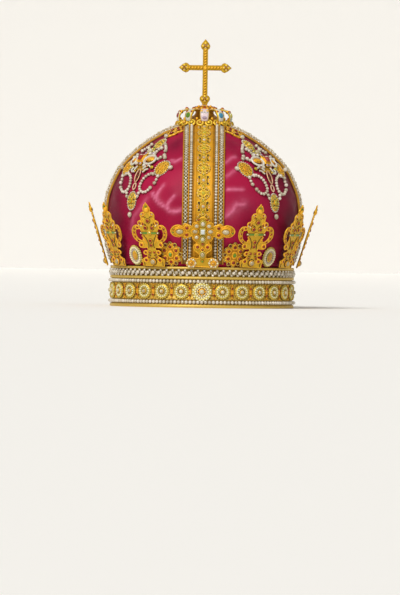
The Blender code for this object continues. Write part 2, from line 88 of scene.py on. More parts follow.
def arcAtRadius(radius):
    # only for radii of the crown, over the widest part
    rows = domeProfile[0] > dome["widest"]
    return float(np.interp(-radius, -domeProfile[1][0][rows], domeProfile[0][rows]))


def onDome(angle, flat):
    # flat points are across, arc and lift over the silk
    radius, height, out, up = atLength(domeProfile, flat[:, 1])
    turn = math.radians(angle) + flat[:, 0] / radius
    reach = radius + flat[:, 2] * out
    return np.stack([np.sin(turn) * reach, -np.cos(turn) * reach, height + flat[:, 2] * up], axis=1)


def onStrap(angle, flat):
    # the same for a straight band, whose edges stay a constant distance apart
    radius, height, out, up = atLength(domeProfile, flat[:, 1])
    bend = radius / np.maximum(out, 0.05)
    turn = flat[:, 0] / bend
    aside, away = np.sin(turn) * (bend + flat[:, 2]), np.cos(turn) * (bend + flat[:, 2])
    s, c = math.sin(math.radians(angle)), math.cos(math.radians(angle))
    return np.stack([s * out * away + c * aside, -c * out * away + s * aside, height - bend * up + up * away], axis=1)


def onCirclet(angle, flat):
    # flat points are across, height over the middle of the medallions and lift over the channel
    turn = math.radians(angle) + flat[:, 0] / circletForm["channel"]
    reach = circletForm["channel"] + flat[:, 2]
    height = flat[:, 1] + circletForm["medallionLevel"]
    return np.stack([np.sin(turn) * reach, -np.cos(turn) * reach, height], axis=1)


def directions(angle):
    turn = math.radians(angle)
    return Vector((math.sin(turn), -math.cos(turn), 0)), Vector((math.cos(turn), math.sin(turn), 0))


def frameAt(origin, side, up, out):
    return Matrix.Translation(origin) @ Matrix((side, up, out)).transposed().to_4x4()


def domeFrame(angle, arc, across=0.0, lift=0.2):
    radius, height, out, up = (float(value) for value in atLength(domeProfile, arc))
    away, side = directions(angle + math.degrees(across / radius))
    normal = away * out + Vector((0, 0, up))
    origin = away * (radius + lift * out) + Vector((0, 0, height + lift * up))
    return frameAt(origin, side, normal.cross(side), normal)


def at(across, along, lift=0.0, size=1.0, tall=None, wide=None, turn=0.0):
    # a place in a flat design, with the size there
    scale = Matrix.Diagonal((wide or size, size, size if tall is None else tall, 1.0))
    return Matrix.Translation((across, along, lift)) @ Matrix.Rotation(math.radians(turn), 4, "Z") @ scale


# spots of a flat design

origin = [(0.0, 0.0)]


def around(count, radius, start=0.0, wide=1.0):
    turns = [math.radians(start + 360 * i / count) for i in range(count)]
    return [(radius * wide * math.cos(t), radius * math.sin(t)) for t in turns]


def shifted(spots, steps):
    return [(x + a, y + b) for x, y in spots for a, b in steps]


def alongPath(path, pitch):
    path = np.array(path, float)
    lengths = lengthsAlong(path)
    count = max(2, int(round(lengths[-1] / pitch)))
    stations = np.linspace(0.0, lengths[-1], count + 1)
    return np.stack([np.interp(stations, lengths, path[:, i]) for i in range(path.shape[1])], axis=1)


def circlePath(x, y, radius, start=0, end=360, steps=16, squash=1.0):
    turns = np.radians(np.linspace(start, end, steps + 1))
    return [(x + radius * math.cos(t), y + radius * squash * math.sin(t)) for t in turns]


def lifted(paths, level):
    return [[(x, y, level) for x, y in path] for path in paths]


def mirrored(paths):
    return [*paths, *([(-x, *rest) for x, *rest in path] for path in paths)]


def bothSides(rows):
    return [(sign * across, *rest) for across, *rest in rows for sign in ((1, -1) if across else (1,))]


def wholeOutline(half):
    # both sides of an outline whose right half is given
    return [tuple(p) for p in half] + [(-x, y) for x, y in reversed(half[1:-1]) if x > 1e-3]


# modelling

def clearPick():
    if bpy.context.mode != "OBJECT":
        bpy.ops.object.mode_set(mode="OBJECT")
    bpy.ops.object.select_all(action="DESELECT")


def editAll():
    bpy.ops.object.mode_set(mode="EDIT")
    bpy.ops.mesh.select_all(action="SELECT")


def closeUp():
    # merges doubles and turns the faces outwards
    bpy.ops.mesh.select_all(action="SELECT")
    bpy.ops.mesh.remove_doubles(threshold=0.01)
    bpy.ops.mesh.normals_make_consistent(inside=False)


def readAll(rows, key, width=1, kind=float):
    values = np.empty(len(rows) * width, kind)
    rows.foreach_get(key, values)
    return values


def paint(mesh, label, values):
    mesh.attributes.new(label, "FLOAT", "POINT").data.foreach_set("value", values.astype(np.float32))


class Shape:
    # the arrays of a mesh that was modelled once, to be copied to many places
    def __init__(self, points, loops, sizes, relief, smooth, copies=None):
        self.points, self.loops, self.sizes, self.relief, self.smooth = points, loops, sizes, relief, smooth
        self.copies = np.zeros(len(points), np.int64) if copies is None else copies

    def spread(self, places):
        turns = np.array([np.array(place) for place in places])
        count, length = len(turns), len(self.points)
        points = np.einsum("kij,nj->kni", turns[:, :3, :3], self.points) + turns[:, None, :3, 3]
        loops = (self.loops[None, :] + (np.arange(count) * length)[:, None]).reshape(-1)
        return Shape(points.reshape(-1, 3), loops, np.tile(self.sizes, count), np.tile(self.relief, count),
                     self.smooth, np.repeat(np.arange(count), length))

    def bent(self, bend, angle):
        return Shape(bend(angle, self.points), self.loops, self.sizes, self.relief, self.smooth, self.copies)


def taken(obj, smooth=True, relief=None):
    # lifts the mesh off a modelled object and removes the object; its painted shade level runs from the foot, darkest,
    # to the top, lightest, unless it is given
    clearPick()
    mesh = obj.data
    points = readAll(mesh.vertices, "co", 3).reshape(-1, 3)
    loops, sizes = readAll(mesh.loops, "vertex_index", 1, np.int64), readAll(mesh.polygons, "loop_total", 1, np.int64)
    low, high = points[:, 2].min(), points[:, 2].max()
    shade = (points[:, 2] - low) / max(high - low, 1e-9) if relief is None else np.full(len(points), float(relief))
    bpy.data.objects.remove(obj, do_unlink=True)
    return Shape(points, loops, sizes, shade, smooth)


def turned(section, sides, smooth=True, relief=None, turn=0.0):
    # a ring extruded and resized from level to level, closed at both ends
    clearPick()
    radius, height = section[0]
    bpy.ops.mesh.primitive_circle_add(vertices=sides, radius=radius, fill_type="NGON", location=(0, 0, height),
                                      rotation=(0, 0, math.radians(turn)))
    obj = bpy.context.object
    bpy.ops.object.transform_apply()
    editAll()
    for (radius, height), (wider, higher) in zip(section, section[1:]):
        bpy.ops.mesh.extrude_region_move(TRANSFORM_OT_translate={"value": (0, 0, higher - height)})
        bpy.ops.transform.resize(value=(wider / radius, wider / radius, 1), center_override=(0, 0, higher))
    closeUp()
    return taken(obj, smooth, relief)


def outlined(section, fill="NGON"):
    # a ring moved to a section's points, ready to extrude or spin
    clearPick()
    bpy.ops.mesh.primitive_circle_add(vertices=len(section), radius=1.0, fill_type=fill)
    obj = bpy.context.object
    for vertex, spot in zip(obj.data.vertices, section):
        vertex.co = spot
    editAll()
    return obj


def drawn(paths, cyclic, **settings):
    # a curve with a line through each path, made a mesh
    clearPick()
    bpy.ops.curve.primitive_bezier_curve_add()
    curve = bpy.context.object.data
    curve.splines.clear()
    for key, value in settings.items():
        setattr(curve, key, value)
    for path in paths:
        spline = curve.splines.new("POLY")
        spline.points.add(len(path) - 1)
        for point, place in zip(spline.points, path):
            point.co = (*place, 0.0)[:3] + (1.0,)
        spline.use_cyclic_u = cyclic
    bpy.ops.object.convert(target="MESH")
    editAll()
    closeUp()
    return bpy.context.object


def wired(paths, thick, relief, cyclic=False):
    # lines of round wire
    return taken(drawn(paths, cyclic, dimensions="3D", bevel_depth=thick / 2, bevel_resolution=1, use_fill_caps=True),
                 True, relief)


def plated(outlines, thick, relief, edge=0.3):
    # a flat plate with softened edges; outlines inside others are cut through
    shape = taken(drawn(outlines, True, dimensions="2D", fill_mode="BOTH", extrude=thick / 2 - edge, bevel_depth=edge,
                        bevel_resolution=0, offset=-edge), False, relief)
    shape.points[:, 2] += thick / 2
    return shape


class Piece:
    # gathers shapes of several finishes, bent onto the mitre at an angle, and makes them one mesh
    def __init__(self, bend=None, angle=0.0):
        self.bend, self.angle, self.parts = bend, angle, []

    def add(self, finish, shape, places=None):
        if places is not None:
            if not len(places):
                return
            shape = shape.spread([at(*place) if isinstance(place, tuple) else place for place in places])
        self.parts.append((finish, shape.bent(self.bend, self.angle) if self.bend else shape))

    def put(self, finish, shape, spots, *size):
        # size is the lift, size, height and width of at, the same at each spot
        self.add(finish, shape, [(x, y, *size) for x, y in spots])

    def stones(self, finish, metal, places):
        # a collet with its stone at each place, over a dark disc of painted shade; a place's size is the collet's
        # outer radius
        for name, shape in (("paintedShade", paintedShade), (metal, collet), (finish, cabochon)):
            self.add(name, shape, places)

    def copyTo(self, place, name, node, slot):
        made = Piece()
        for finish, shape in self.parts:
            made.add(finish, shape, [place])
        made.make(name, node)

    def make(self, name, node):
        names = list(dict.fromkeys(finish for finish, _ in self.parts))
        shapes = [shape for _, shape in self.parts]
        starts = np.cumsum([0] + [len(shape.points) for shape in shapes])
        sizes = np.concatenate([shape.sizes for shape in shapes])
        loops = np.concatenate([shape.loops + start for shape, start in zip(shapes, starts)])
        chance = np.random.default_rng(7 + len(name))
        mesh = bpy.data.meshes.new(name)
        mesh.vertices.add(int(starts[-1]))
        mesh.vertices.foreach_set("co", np.concatenate([shape.points for shape in shapes]).reshape(-1) * mm)
        mesh.loops.add(len(loops))
        mesh.loops.foreach_set("vertex_index", loops)
        mesh.polygons.add(len(sizes))
        mesh.polygons.foreach_set("loop_start", np.concatenate([[0], np.cumsum(sizes)[:-1]]))
        for finish in names:
            mesh.materials.append(finishes[finish])
        for key, values in (("material_index", [names.index(finish) for finish, _ in self.parts]),
                            ("use_smooth", [shape.smooth for shape in shapes])):
            mesh.polygons.foreach_set(key, np.repeat(values, [len(shape.sizes) for shape in shapes]))
        mesh.update(calc_edges=True)
        paint(mesh, "relief", np.concatenate([shape.relief for shape in shapes]))
        paint(mesh, "tint", np.concatenate([chance.random(shape.copies.max() + 1)[shape.copies] for shape in shapes]))
        obj = bpy.data.objects.new(name, mesh)
        bpy.context.scene.collection.objects.link(obj)
        settle(obj, node)


def settle(obj, node):
    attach(obj, "root")
    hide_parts(node)


# finishes

class Value:
    # a shader socket that Python's operators work on
    def __init__(self, finish, socket):
        self.finish, self.socket = finish, socket

    def sum(self, operation, *others, clamp=False):
        return self.finish.node("Math", {"operation": operation, "use_clamp": clamp}, dict(enumerate(others)))

    def __add__(self, other):
        return self.sum("ADD", self, other)

    def __radd__(self, other):
        return self.sum("ADD", other, self)

    def __sub__(self, other):
        return self.sum("SUBTRACT", self, other)

    def __rsub__(self, other):
        return self.sum("SUBTRACT", other, self)

    def __mul__(self, other):
        return self.sum("MULTIPLY", self, other)

    def __rmul__(self, other):
        return self.sum("MULTIPLY", other, self)

    def held(self):
        return self.sum("ADD", self, 0.0, clamp=True)


class Finish:
    def __init__(self, name, **constants):
        self.material = bpy.data.materials.new(name)
        self.material.use_nodes = True
        self.tree = self.material.node_tree
        self.wear(**constants)
        finishes[name] = self.material

    def wear(self, **sockets):
        for socket, value in sockets.items():
            self.feed(self.tree.nodes["Principled BSDF"].inputs[socket.replace("_", " ")], value)

    def feed(self, socket, value):
        if isinstance(value, Value):
            self.tree.links.new(value.socket, socket)
        else:
            socket.default_value = (*value, 1.0) if socket.type == "RGBA" else value

    def node(self, kind, settings, sockets, output=0):
        made = self.tree.nodes.new("ShaderNode" + kind)
        for key, value in settings.items():
            if key != "stops":
                setattr(made, key, value)
                continue
            while len(made.color_ramp.elements) < len(value):
                made.color_ramp.elements.new(0.5)
            for element, (place, colour) in zip(made.color_ramp.elements, value):
                element.position, element.color = place, (*colour, 1.0)
        for socket, value in sockets.items():
            self.feed(made.inputs[socket], value)
        return Value(self, made.outputs[output])

    def spot(self):
        return self.node("TexCoord", {}, {}, output=3)

    def noise(self, scale, detail=2.0):
        return self.node("TexNoise", {}, {"Vector": self.spot(), "Scale": scale, "Detail": detail})

    def layer(self, name):
        return self.node("Attribute", {"attribute_name": name}, {}, output=2)

    def ramp(self, value, *stops):
        return self.node("ValToRGB", {"stops": stops}, {0: value})

    def blend(self, share, first, second):
        return self.node("Mix", {"data_type": "RGBA"}, {0: share, 6: first, 7: second}, output=2)

    def bump(self, height, strength, distance):
        return self.node("Bump", {}, {"Height": height, "Strength": strength, "Distance": distance})


finishes = {}
golds = {
    # painted shade colour in hollows, colour on flats and painted highlight colour on high parts, then roughness and
    # metal
    "gold": ((0.10, 0.038, 0.003), (0.60, 0.28, 0.014), (0.92, 0.56, 0.06), 0.38, 0.75),
    # dark gold for discs and lines of painted shade under and between parts
    "paintedShade": ((0.045, 0.018, 0.003), (0.10, 0.040, 0.005), (0.30, 0.13, 0.01), 0.6, 0.3),
    "brightGold": ((0.20, 0.075, 0.004), (0.76, 0.34, 0.008), (0.96, 0.55, 0.04), 0.52, 0.55),
    "strapGold": ((0.24, 0.13, 0.015), (0.64, 0.29, 0.004), (0.80, 0.48, 0.025), 0.6, 0.4),
    "orangeGold": ((0.20, 0.065, 0.003), (0.68, 0.30, 0.008), (0.90, 0.52, 0.035), 0.5, 0.5),
    "yellowGold": ((0.14, 0.070, 0.004), (0.58, 0.33, 0.010), (0.86, 0.60, 0.06), 0.48, 0.55),
    "rimGold": ((0.10, 0.05, 0.008), (0.50, 0.31, 0.040), (0.68, 0.47, 0.10), 0.5, 0.5),
    "greenGold": ((0.13, 0.085, 0.006), (0.46, 0.33, 0.024), (0.76, 0.64, 0.15), 0.42, 0.6),
    "pinkGold": ((0.34, 0.13, 0.05), (0.62, 0.34, 0.17), (0.84, 0.60, 0.40), 0.45, 0.4),
    "creamGold": ((0.26, 0.19, 0.06), (0.62, 0.54, 0.26), (0.84, 0.78, 0.50), 0.42, 0.3),
}
pearls = {
    "pearl": ((0.31, 0.25, 0.15), (0.57, 0.50, 0.37), (0.71, 0.63, 0.53)),
    "goldPearl": ((0.34, 0.24, 0.09), (0.50, 0.42, 0.25), (0.62, 0.58, 0.42)),
}
stones = {
    # dark and light colour, roughness and coat
    "garnet": ((0.11, 0.004, 0.001), (0.36, 0.024, 0.006), 0.2, 0.1),
    "whiteStone": ((0.50, 0.56, 0.56), (0.80, 0.82, 0.78), 0.12, 0.2),
    "redStone": ((0.22, 0.006, 0.002), (0.42, 0.022, 0.005), 0.5, 0.0),
    "greenStone": ((0.04, 0.13, 0.008), (0.18, 0.32, 0.02), 0.12, 0.2),
    "blueStone": ((0.02, 0.14, 0.28), (0.08, 0.35, 0.50), 0.12, 0.2),
    "violetStone": ((0.26, 0.18, 0.24), (0.50, 0.38, 0.46), 0.12, 0.2),
    "limeStone": ((0.28, 0.22, 0.010), (0.58, 0.48, 0.03), 0.12, 0.2),
    "amber": ((0.38, 0.15, 0.008), (0.74, 0.36, 0.02), 0.12, 0.2),
    "whiteEnamel": ((0.46, 0.43, 0.34), (0.78, 0.74, 0.62), 0.2, 0.2),
    "pinkEnamel": ((0.62, 0.44, 0.46), (0.80, 0.70, 0.69), 0.2, 0.2),
    "greyEnamel": ((0.22, 0.30, 0.27), (0.45, 0.50, 0.42), 0.2, 0.2),
}


def makeFinishes():
    for name, (deep, middle, bright, roughness, metal) in golds.items():
        gold = Finish(name, Metallic=metal)
        cloud = gold.noise(220.0, 3.0)
        # each gold is painted darker at low points and lighter at high points, painted shade and painted highlight,
        # with random cloud
        level = (gold.layer("relief") * 0.85 + cloud * 0.5 - 0.2).held()
        gold.wear(Base_Color=gold.ramp(level, (0.0, deep), (0.42, middle), (1.0, bright)),
                  Roughness=roughness - 0.08 + cloud * 0.2,
                  Normal=gold.bump(gold.noise(1500.0) * 0.5 + cloud * 0.5, 0.4, 0.0004))
    for name, colours in pearls.items():
        pearl = Finish(name, Roughness=0.24, Coat_Weight=0.4, Coat_Roughness=0.1)
        level = (pearl.layer("tint") * 0.7 + pearl.noise(400.0, 1.0) * 0.35).held()
        pearl.wear(Base_Color=pearl.ramp(level, *zip((0.0, 0.5, 1.0), colours)),
                   Normal=pearl.bump(pearl.noise(1200.0, 1.0), 0.06, 0.0002))
    for name, (dark, light, roughness, coat) in stones.items():
        stone = Finish(name, Roughness=roughness, Coat_Weight=coat, Coat_Roughness=0.08, Specular_IOR_Level=0.4)
        level = (stone.noise(500.0) * 0.7 + stone.layer("tint") * 0.4 - 0.05).held()
        stone.wear(Base_Color=stone.blend(level, dark, light),
                   Normal=stone.bump(stone.noise(900.0, 1.0), 0.08, 0.0002))
    silk = Finish("silk", Roughness=0.42, IOR=1.2, Specular_IOR_Level=0.35)
    cloud = silk.noise(28.0, 3.0)
    # the crimson is painted lighter in the middle of each panel and darker by the side straps and crown: painted light
    # and shade, with random cloud
    base = silk.ramp(cloud * 0.6 + silk.layer("glow") * 0.6 - 0.1, (0.0, (0.045, 0.003, 0.009)),
                     (0.45, (0.20, 0.006, 0.030)), (0.95, (0.39, 0.011, 0.052)))
    thread = silk.node("TexWave", {"wave_type": "BANDS", "bands_direction": "Z"},
                       {"Vector": silk.spot(), "Scale": 900.0, "Distortion": 2.0, "Detail": 2.0})
    # the silk is painted light pink along the wrinkles: painted highlights
    highlight = (silk.layer("fold") * (cloud * 0.5 + silk.noise(190.0, 4.0) + 0.02)).held()
    silk.wear(Base_Color=silk.blend(highlight, base, (0.74, 0.20, 0.33)), Normal=silk.bump(thread, 0.06, 0.0002))
    lining = Finish("lining", Roughness=0.75, Sheen_Weight=0.25, Sheen_Roughness=0.5)
    base = lining.ramp(lining.noise(60.0, 3.0), (0.25, (0.30, 0.12, 0.13)), (0.75, (0.46, 0.21, 0.22)))
    lining.wear(Base_Color=lining.blend(lining.layer("seam"), base, (0.16, 0.05, 0.06)),
                Normal=lining.bump(lining.noise(1400.0), 0.25, 0.0004))
    floor = Finish("floorPaper", Roughness=0.95, Specular_IOR_Level=0.1)
    away = floor.node("SeparateXYZ", {}, {0: floor.spot()}, output=1)
    shade = (away * 0.072 + 0.43 + floor.noise(3.0) * 0.02).held()
    floor.wear(Base_Color=floor.blend(shade, (0.985, 0.962, 0.918), (0.880, 0.860, 0.820)))
    wall = Finish("wallPaper", Roughness=0.95, Specular_IOR_Level=0.1)
    wall.wear(Base_Color=wall.blend(wall.noise(3.0), (0.750, 0.732, 0.700), (0.760, 0.742, 0.710)))


makeFinishes()
print("finishes made")

# small masters of unit size, modelled once

def sphered(segments, rings):
    clearPick()
    bpy.ops.mesh.primitive_uv_sphere_add(segments=segments, ring_count=rings, radius=1.0)
    editAll()
    bpy.ops.transform.resize(value=(1.0, 1.0, 0.96))
    return taken(bpy.context.object)


def ringed(major, minor, thick):
    clearPick()
    bpy.ops.mesh.primitive_torus_add(major_segments=major, minor_segments=minor, major_radius=1.0 - thick,
                                     minor_radius=thick)
    editAll()
    bpy.ops.transform.translate(value=(0, 0, thick))
    return taken(bpy.context.object)


pearl, seed, bead = sphered(8, 6), sphered(7, 5), sphered(6, 4)
ring, hoop = ringed(12, 6, 0.22), ringed(20, 6, 0.10)
collet = turned(((1.0, 0.0), (1.0, 0.40), (0.86, 0.58), (0.78, 0.42)), 10)
cabochon = turned(((0.82, 0.38), (0.74, 0.70), (0.46, 0.94), (0.12, 1.02)), 10)
cutStone = turned(((0.82, 0.36), (0.80, 0.58), (0.48, 0.86)), 8, smooth=False)
# a dark disc of painted shade, laid under stones and wire
paintedShade = turned(((1.34, 0.0), (1.26, 0.16), (0.8, 0.16)), 8, smooth=False, relief=0.3)
squareCollet = turned(((1.41, 0.0), (1.36, 0.42), (1.20, 0.58), (1.08, 0.46)), 4, smooth=False, turn=45)
squareStone = turned(((1.12, 0.44), (1.10, 0.58), (0.70, 0.92)), 4, smooth=False, turn=45)
sheetRoundel = turned(((1.0, 0.0), (1.0, 0.7), (0.9, 1.0), (0.5, 1.0)), 14, relief=0.25)
disc = turned(((1.0, 0.0), (1.0, 0.6), (0.93, 0.9), (0.80, 0.95), (0.74, 0.6), (0.30, 0.7)), 20)
print("masters made")

# cloth: silk panels and lining

silkForm = {
    "columns": 60, "rows": 76, "thickness": 1.2, "width": 0.1048,
    # wrinkles: angle from the panel's middle towards the front or back strap and arc of each point, then width,
    # height, strength of the painted highlight along the wrinkle, and the side of the mitre, -1 for the panels at
    # front left and back left
    "wrinkles": (
        (((13.0, 78.6), (15.8, 73.1), (18.7, 67.7), (23.1, 63.4), (25.2, 59.8), (27.8, 59.0),
          (31.8, 60.9)), 2.4, 1.3, 1.0, -1),
        (((15.8, 73.1), (16.8, 80.5), (19.4, 88.3)), 2.0, 0.9, 0.8, -1),
        (((23.1, 63.4), (24.5, 69.7), (27.3, 76.1)), 2.0, 0.9, 0.9, -1),
        (((9.4, 73.0), (6.3, 63.9), (0.2, 53.0), (-1.4, 39.5)), 4.2, 1.2, 0.34, -1),
        (((19.9, 118.8), (23.9, 117.8), (27.5, 122.1)), 2.6, 1.0, 0.85, -1),
        (((30.2, 84.5), (20.1, 84.8)), 2.2, 1.0, 0.75, 1),
        (((31.2, 55.3), (27.1, 61.7), (25.6, 68.0), (20.4, 67.3)), 3.4, 1.2, 0.85, 1),
        (((29.5, 58.0), (24.5, 65.0), (20.5, 69.0)), 8.8, 0.4, 0.36, 1),
        (((29.1, 116.9), (23.4, 124.4), (19.7, 125.7)), 3.0, 1.0, 0.55, 1),
        (((30.0, 99.6), (23.6, 106.9)), 3.0, 1.0, 0.45, 1),
    ),
}


def clothGrid(name, form):
    # a flat grid, with its points' places across from -0.5 to 0.5 and along from 0 to 1
    clearPick()
    bpy.ops.mesh.primitive_grid_add(x_subdivisions=form["columns"], y_subdivisions=form["rows"], size=1.0)
    obj = bpy.context.object
    obj.name = obj.data.name = name
    points = readAll(obj.data.vertices, "co", 3).reshape(-1, 3)
    return obj, points[:, 0], points[:, 1] + 0.5


def clothWall(obj, form, offset):
    wall = obj.modifiers.new("wall", "SOLIDIFY")
    wall.thickness, wall.offset = form["thickness"] * mm, offset
    bpy.ops.object.modifier_apply(modifier="wall")
    bpy.ops.object.shade_smooth()


def nearLine(across, arc, line):
    best = np.full(across.shape, 1000.0)
    for (x0, y0), (x1, y1) in zip(line, line[1:]):
        run, rise = x1 - x0, y1 - y0
        share = np.clip(((across - x0) * run + (arc - y0) * rise) / (run * run + rise * rise), 0, 1)
        best = np.minimum(best, np.hypot(across - x0 - share * run, arc - y0 - share * rise))
    return best


def silkPanel(corner, middle):
    obj, turn, arc = clothGrid("silkPanel_" + corner, silkForm)
    turn, arc = turn * 90.0, arc * crownArc
    side = -1 if middle > 180 else 1
    towards = 1 if middle in (315, 135) else -1
    across = towards * np.radians(turn) * 100
    lift, fold = np.zeros(len(arc)), np.zeros(len(arc))
    for line, width, height, highlight, where in silkForm["wrinkles"]:
        if where != side:
            continue
        reach = nearLine(across, arc, [(math.radians(angle) * 100, place) for angle, place in line])
        lift += np.exp(-(reach / width) ** 2) * height
        # a painted highlight along each wrinkle, brightest in the core with a faint skirt
        core, skirt = np.exp(-(reach / (width * 0.55)) ** 2), np.exp(-(reach / (width * 1.3)) ** 2)
        fold = np.maximum(fold, (0.75 * core + 0.30 * skirt) * highlight)
    lift += 0.4 * np.sin(turn / 90 * 23 + arc * 0.130) * np.sin(arc * 0.095 + turn / 90 * 9)
    edge = np.clip((45 - np.abs(turn)) / 14, 0, 1) * np.clip((crownArc - arc) / 30, 0, 1) * np.clip(arc / 20, 0, 1)
    flat = np.stack([np.radians(turn) * atLength(domeProfile, arc)[0], arc, lift * edge], axis=1)
    obj.data.vertices.foreach_set("co", onDome(middle, flat).reshape(-1) * mm)
    # painted light in the middle of a panel, and painted shade by the side straps and under the crown
    dark = 38 if side < 0 else 31
    glow = np.clip((towards * turn + dark) / 42, 0, 1) * np.clip((crownArc + 20 - arc) / 70, 0.25, 1)
    glow *= 1 - 0.55 * np.exp(-((towards * turn - 17) / 9) ** 2 - ((arc - 146) / 13) ** 2)
    paint(obj.data, "fold", fold * edge)
    paint(obj.data, "glow", glow)
    obj.data.materials.append(finishes["silk"])
    clothWall(obj, silkForm, -1.0)
    settle(obj, "silk_panel_" + corner)


for corner, middle in corners.items():
    silkPanel(corner, middle)
print("silk panels made")

liningForm = {
    "mouth": 1.5, "inset": 2.3, "depth": 4.4, "columns": 144, "rows": 96, "quilt": 16.5, "puff": 1.6, "thickness": 1.2,
    "width": 0.0932,
}


def liningPiece():
    # a quilted cap that follows the inside of circlet and silk
    inside = circletForm["inside"] - liningForm["inset"]
    line = [(inside + 0.4, liningForm["mouth"] + 0.3), (inside, 12.0), (inside, 28.0), (inside, 42.5)]
    for arc in np.linspace(4, domeProfile[0][-1], 60):
        radius, height, out, up = atLength(domeProfile, arc)
        line.append((max(0.0, float(radius - liningForm["depth"] * out)), float(height - liningForm["depth"] * up)))
    line = np.array(line)
    profile = profileOf(line)
    lengths = profile[0]
    obj, turn, place = clothGrid("quiltedLining", liningForm)
    place = place * lengths[-1]
    radius, height, out, up = atLength(profile, place)
    quilt = liningForm["quilt"]
    count = round(2 * math.pi * 90 / quilt)
    first, second = turn * count + place / quilt, turn * count - place / quilt
    seam = np.minimum(np.abs(first - np.round(first)), np.abs(second - np.round(second))) * 2
    puff = liningForm["puff"] * (np.abs(np.sin(np.pi * first) * np.sin(np.pi * second)) ** 0.5)
    puff *= np.clip(place / 10, 0, 1) * np.clip(radius / 20, 0, 1)
    turn, reach = turn * 2 * math.pi, radius - puff * out
    points = np.stack([np.cos(turn) * reach, np.sin(turn) * reach, height - puff * up], axis=1)
    obj.data.vertices.foreach_set("co", points.reshape(-1))
    paint(obj.data, "seam", np.clip(1 - seam / 0.28, 0, 1) ** 2)
    obj.data.materials.append(finishes["lining"])
    editAll()
    closeUp()
    bpy.ops.object.mode_set(mode="OBJECT")
    obj.data.transform(Matrix.Scale(mm, 4))
    clothWall(obj, liningForm, 1.0)
    settle(obj, "lining")
    area = float(np.sum((line[1:, 0] + line[:-1, 0]) / 2 * np.diff(lengths)) * 2 * math.pi) * mm * mm


# circlet

circletForm = {
    "inside": 95.5, "channel": 97.3, "fillet": 99.3, "height": 43.7, "steps": 168, "medallions": 28,
    "medallionLevel": 17.2, "medallionRadius": 8.4, "frontRadius": 10.6,
    # radius and height, once round the section
    "section": (
        (93.2, 0.0), (98.7, 0.0), (99.3, 0.6), (99.5, 1.8), (98.9, 3.4), (97.3, 4.0), (97.3, 8.3), (97.9, 8.6),
        (97.6, 9.2), (97.3, 9.4), (97.3, 25.0), (97.6, 25.2), (97.9, 25.8), (97.3, 26.1), (97.3, 30.3), (98.9, 30.5),
        (99.3, 31.2), (99.3, 32.6), (98.9, 33.3), (97.3, 33.5), (97.3, 41.0), (98.9, 41.1), (99.3, 41.7), (99.3, 43.1),
        (98.8, 43.7), (95.5, 43.7), (95.5, 1.5), (93.2, 1.5),
    ),
}


def circletBand():
    form = circletForm
    obj = outlined([(0.0, -radius, height) for radius, height in form["section"]], "NOTHING")
    bpy.ops.mesh.spin(steps=form["steps"], angle=2 * math.pi, center=(0, 0, 0), axis=(0, 0, 1))
    closeUp()
    shape = taken(obj)
    depth = np.hypot(shape.points[:, 0], shape.points[:, 1]) - form["channel"]
    # the raised fillets are painted lighter, a painted highlight
    shape.relief = np.clip(depth / (form["fillet"] - form["channel"]), 0.0, 1.0) * 0.35 + 0.55
    # the channels behind the strings of pearls are painted darker, a painted shade
    strings = (shape.points[:, 2] < 9.0) | (shape.points[:, 2] > 25.4)
    shape.relief[strings & (depth < 0.4)] = 0.30
    return shape


def medallion(piece, size, front):
    # a disc with a serrated border, a band of seeds between two hoops and a domed pearl in the middle, ringed by a
    # dark disc of painted shade
    piece.put("gold", disc, origin, 0.2, size * 0.95, 1.4)
    piece.put("greenGold", bead, around(24 if front else 18, size * 0.93), 1.1, size * 0.105, size * 0.10)
    piece.put("greenGold", hoop, origin, 1.1, size * 0.86, size * 0.7)
    piece.put("creamGold", seed, around(16 if front else 14, size * 0.64), 1.8, size * 0.135, size * 0.12)
    piece.put("creamGold" if front else "greenGold", hoop, origin, 1.4, size * 0.50, size * 0.6)
    if front:
        piece.put("creamGold", seed, around(16, size * 0.86, 11.25), 1.4, size * 0.13)
        piece.put("brightGold", seed, around(8, size * 0.40), 1.8, size * 0.10)
    piece.put("paintedShade", sheetRoundel, origin, 1.4, size * 0.46, 0.6)
    piece.put("brightGold", ring, origin, 1.4, size * 0.32, size * 0.26)
    piece.put("goldPearl", cabochon, origin, 1.2, size * 0.30, size * 0.36)


def circletPiece():
    piece = Piece()
    piece.add("rimGold", circletBand())
    piece.bend = onCirclet
    count = circletForm["medallions"]
    leaf = plated([circlePath(0, 0, 6.2, steps=14)[:-1]], 0.8, relief=0.55)
    for i in range(count):
        piece.angle = 360.0 * i / count
        medallion(piece, circletForm["medallionRadius"] if i else circletForm["frontRadius"], i == 0)
        # the leaves beside the front medallion stand a little further from it
        piece.angle += 180.0 / count + {0: 1.2, count - 1: -1.2}.get(i, 0.0)
        piece.put("orangeGold", leaf, origin, 0.0, 1.0, None, 0.30)
        piece.stones("garnet", "gold", [(0, y, 0.4, 1.5, 1.7) for y in (3.6, -3.6)])
        piece.put("brightGold", bead, [(0, y) for y in (-6.8, 0.0, 6.8)], 0.6, 0.9)
        for y in (7.6, -7.6):
            piece.put("gold", bead, [(-2.2, y), (2.2, y)], 0.3, 1.0)
    piece.make("circletBand", "circlet")


circletPiece()
liningPiece()
print("circlet and lining made")

circletPearlForm = {
    "radius": 1.9, "count": 150, "lower": 6.1, "upper": 28.2, "seat": 97.5, "braidLevel": 37.2, "braidCount": 90,
    # shift along in steps, height, radius and seat of the pearls in one step of the braid
    "braid": ((0.0, 0.0, 2.1, 1.4), (0.34, 2.5, 1.48, 1.2), (-0.34, -2.5, 1.48, 1.2), (0.52, 0.6, 0.95, 0.6),
              (0.48, -0.9, 0.95, 0.6)),
}


def spotsRound(count, reach, height, size, shift=0.0):
    # places for balls in a level row round the mitre
    places = []
    for i in range(count):
        spot = directions(360.0 / count * (i + shift))[0] * reach + Vector((0, 0, height))
        places.append(Matrix.Translation(spot) @ Matrix.Diagonal((size,) * 3 + (1.0,)))
    return places


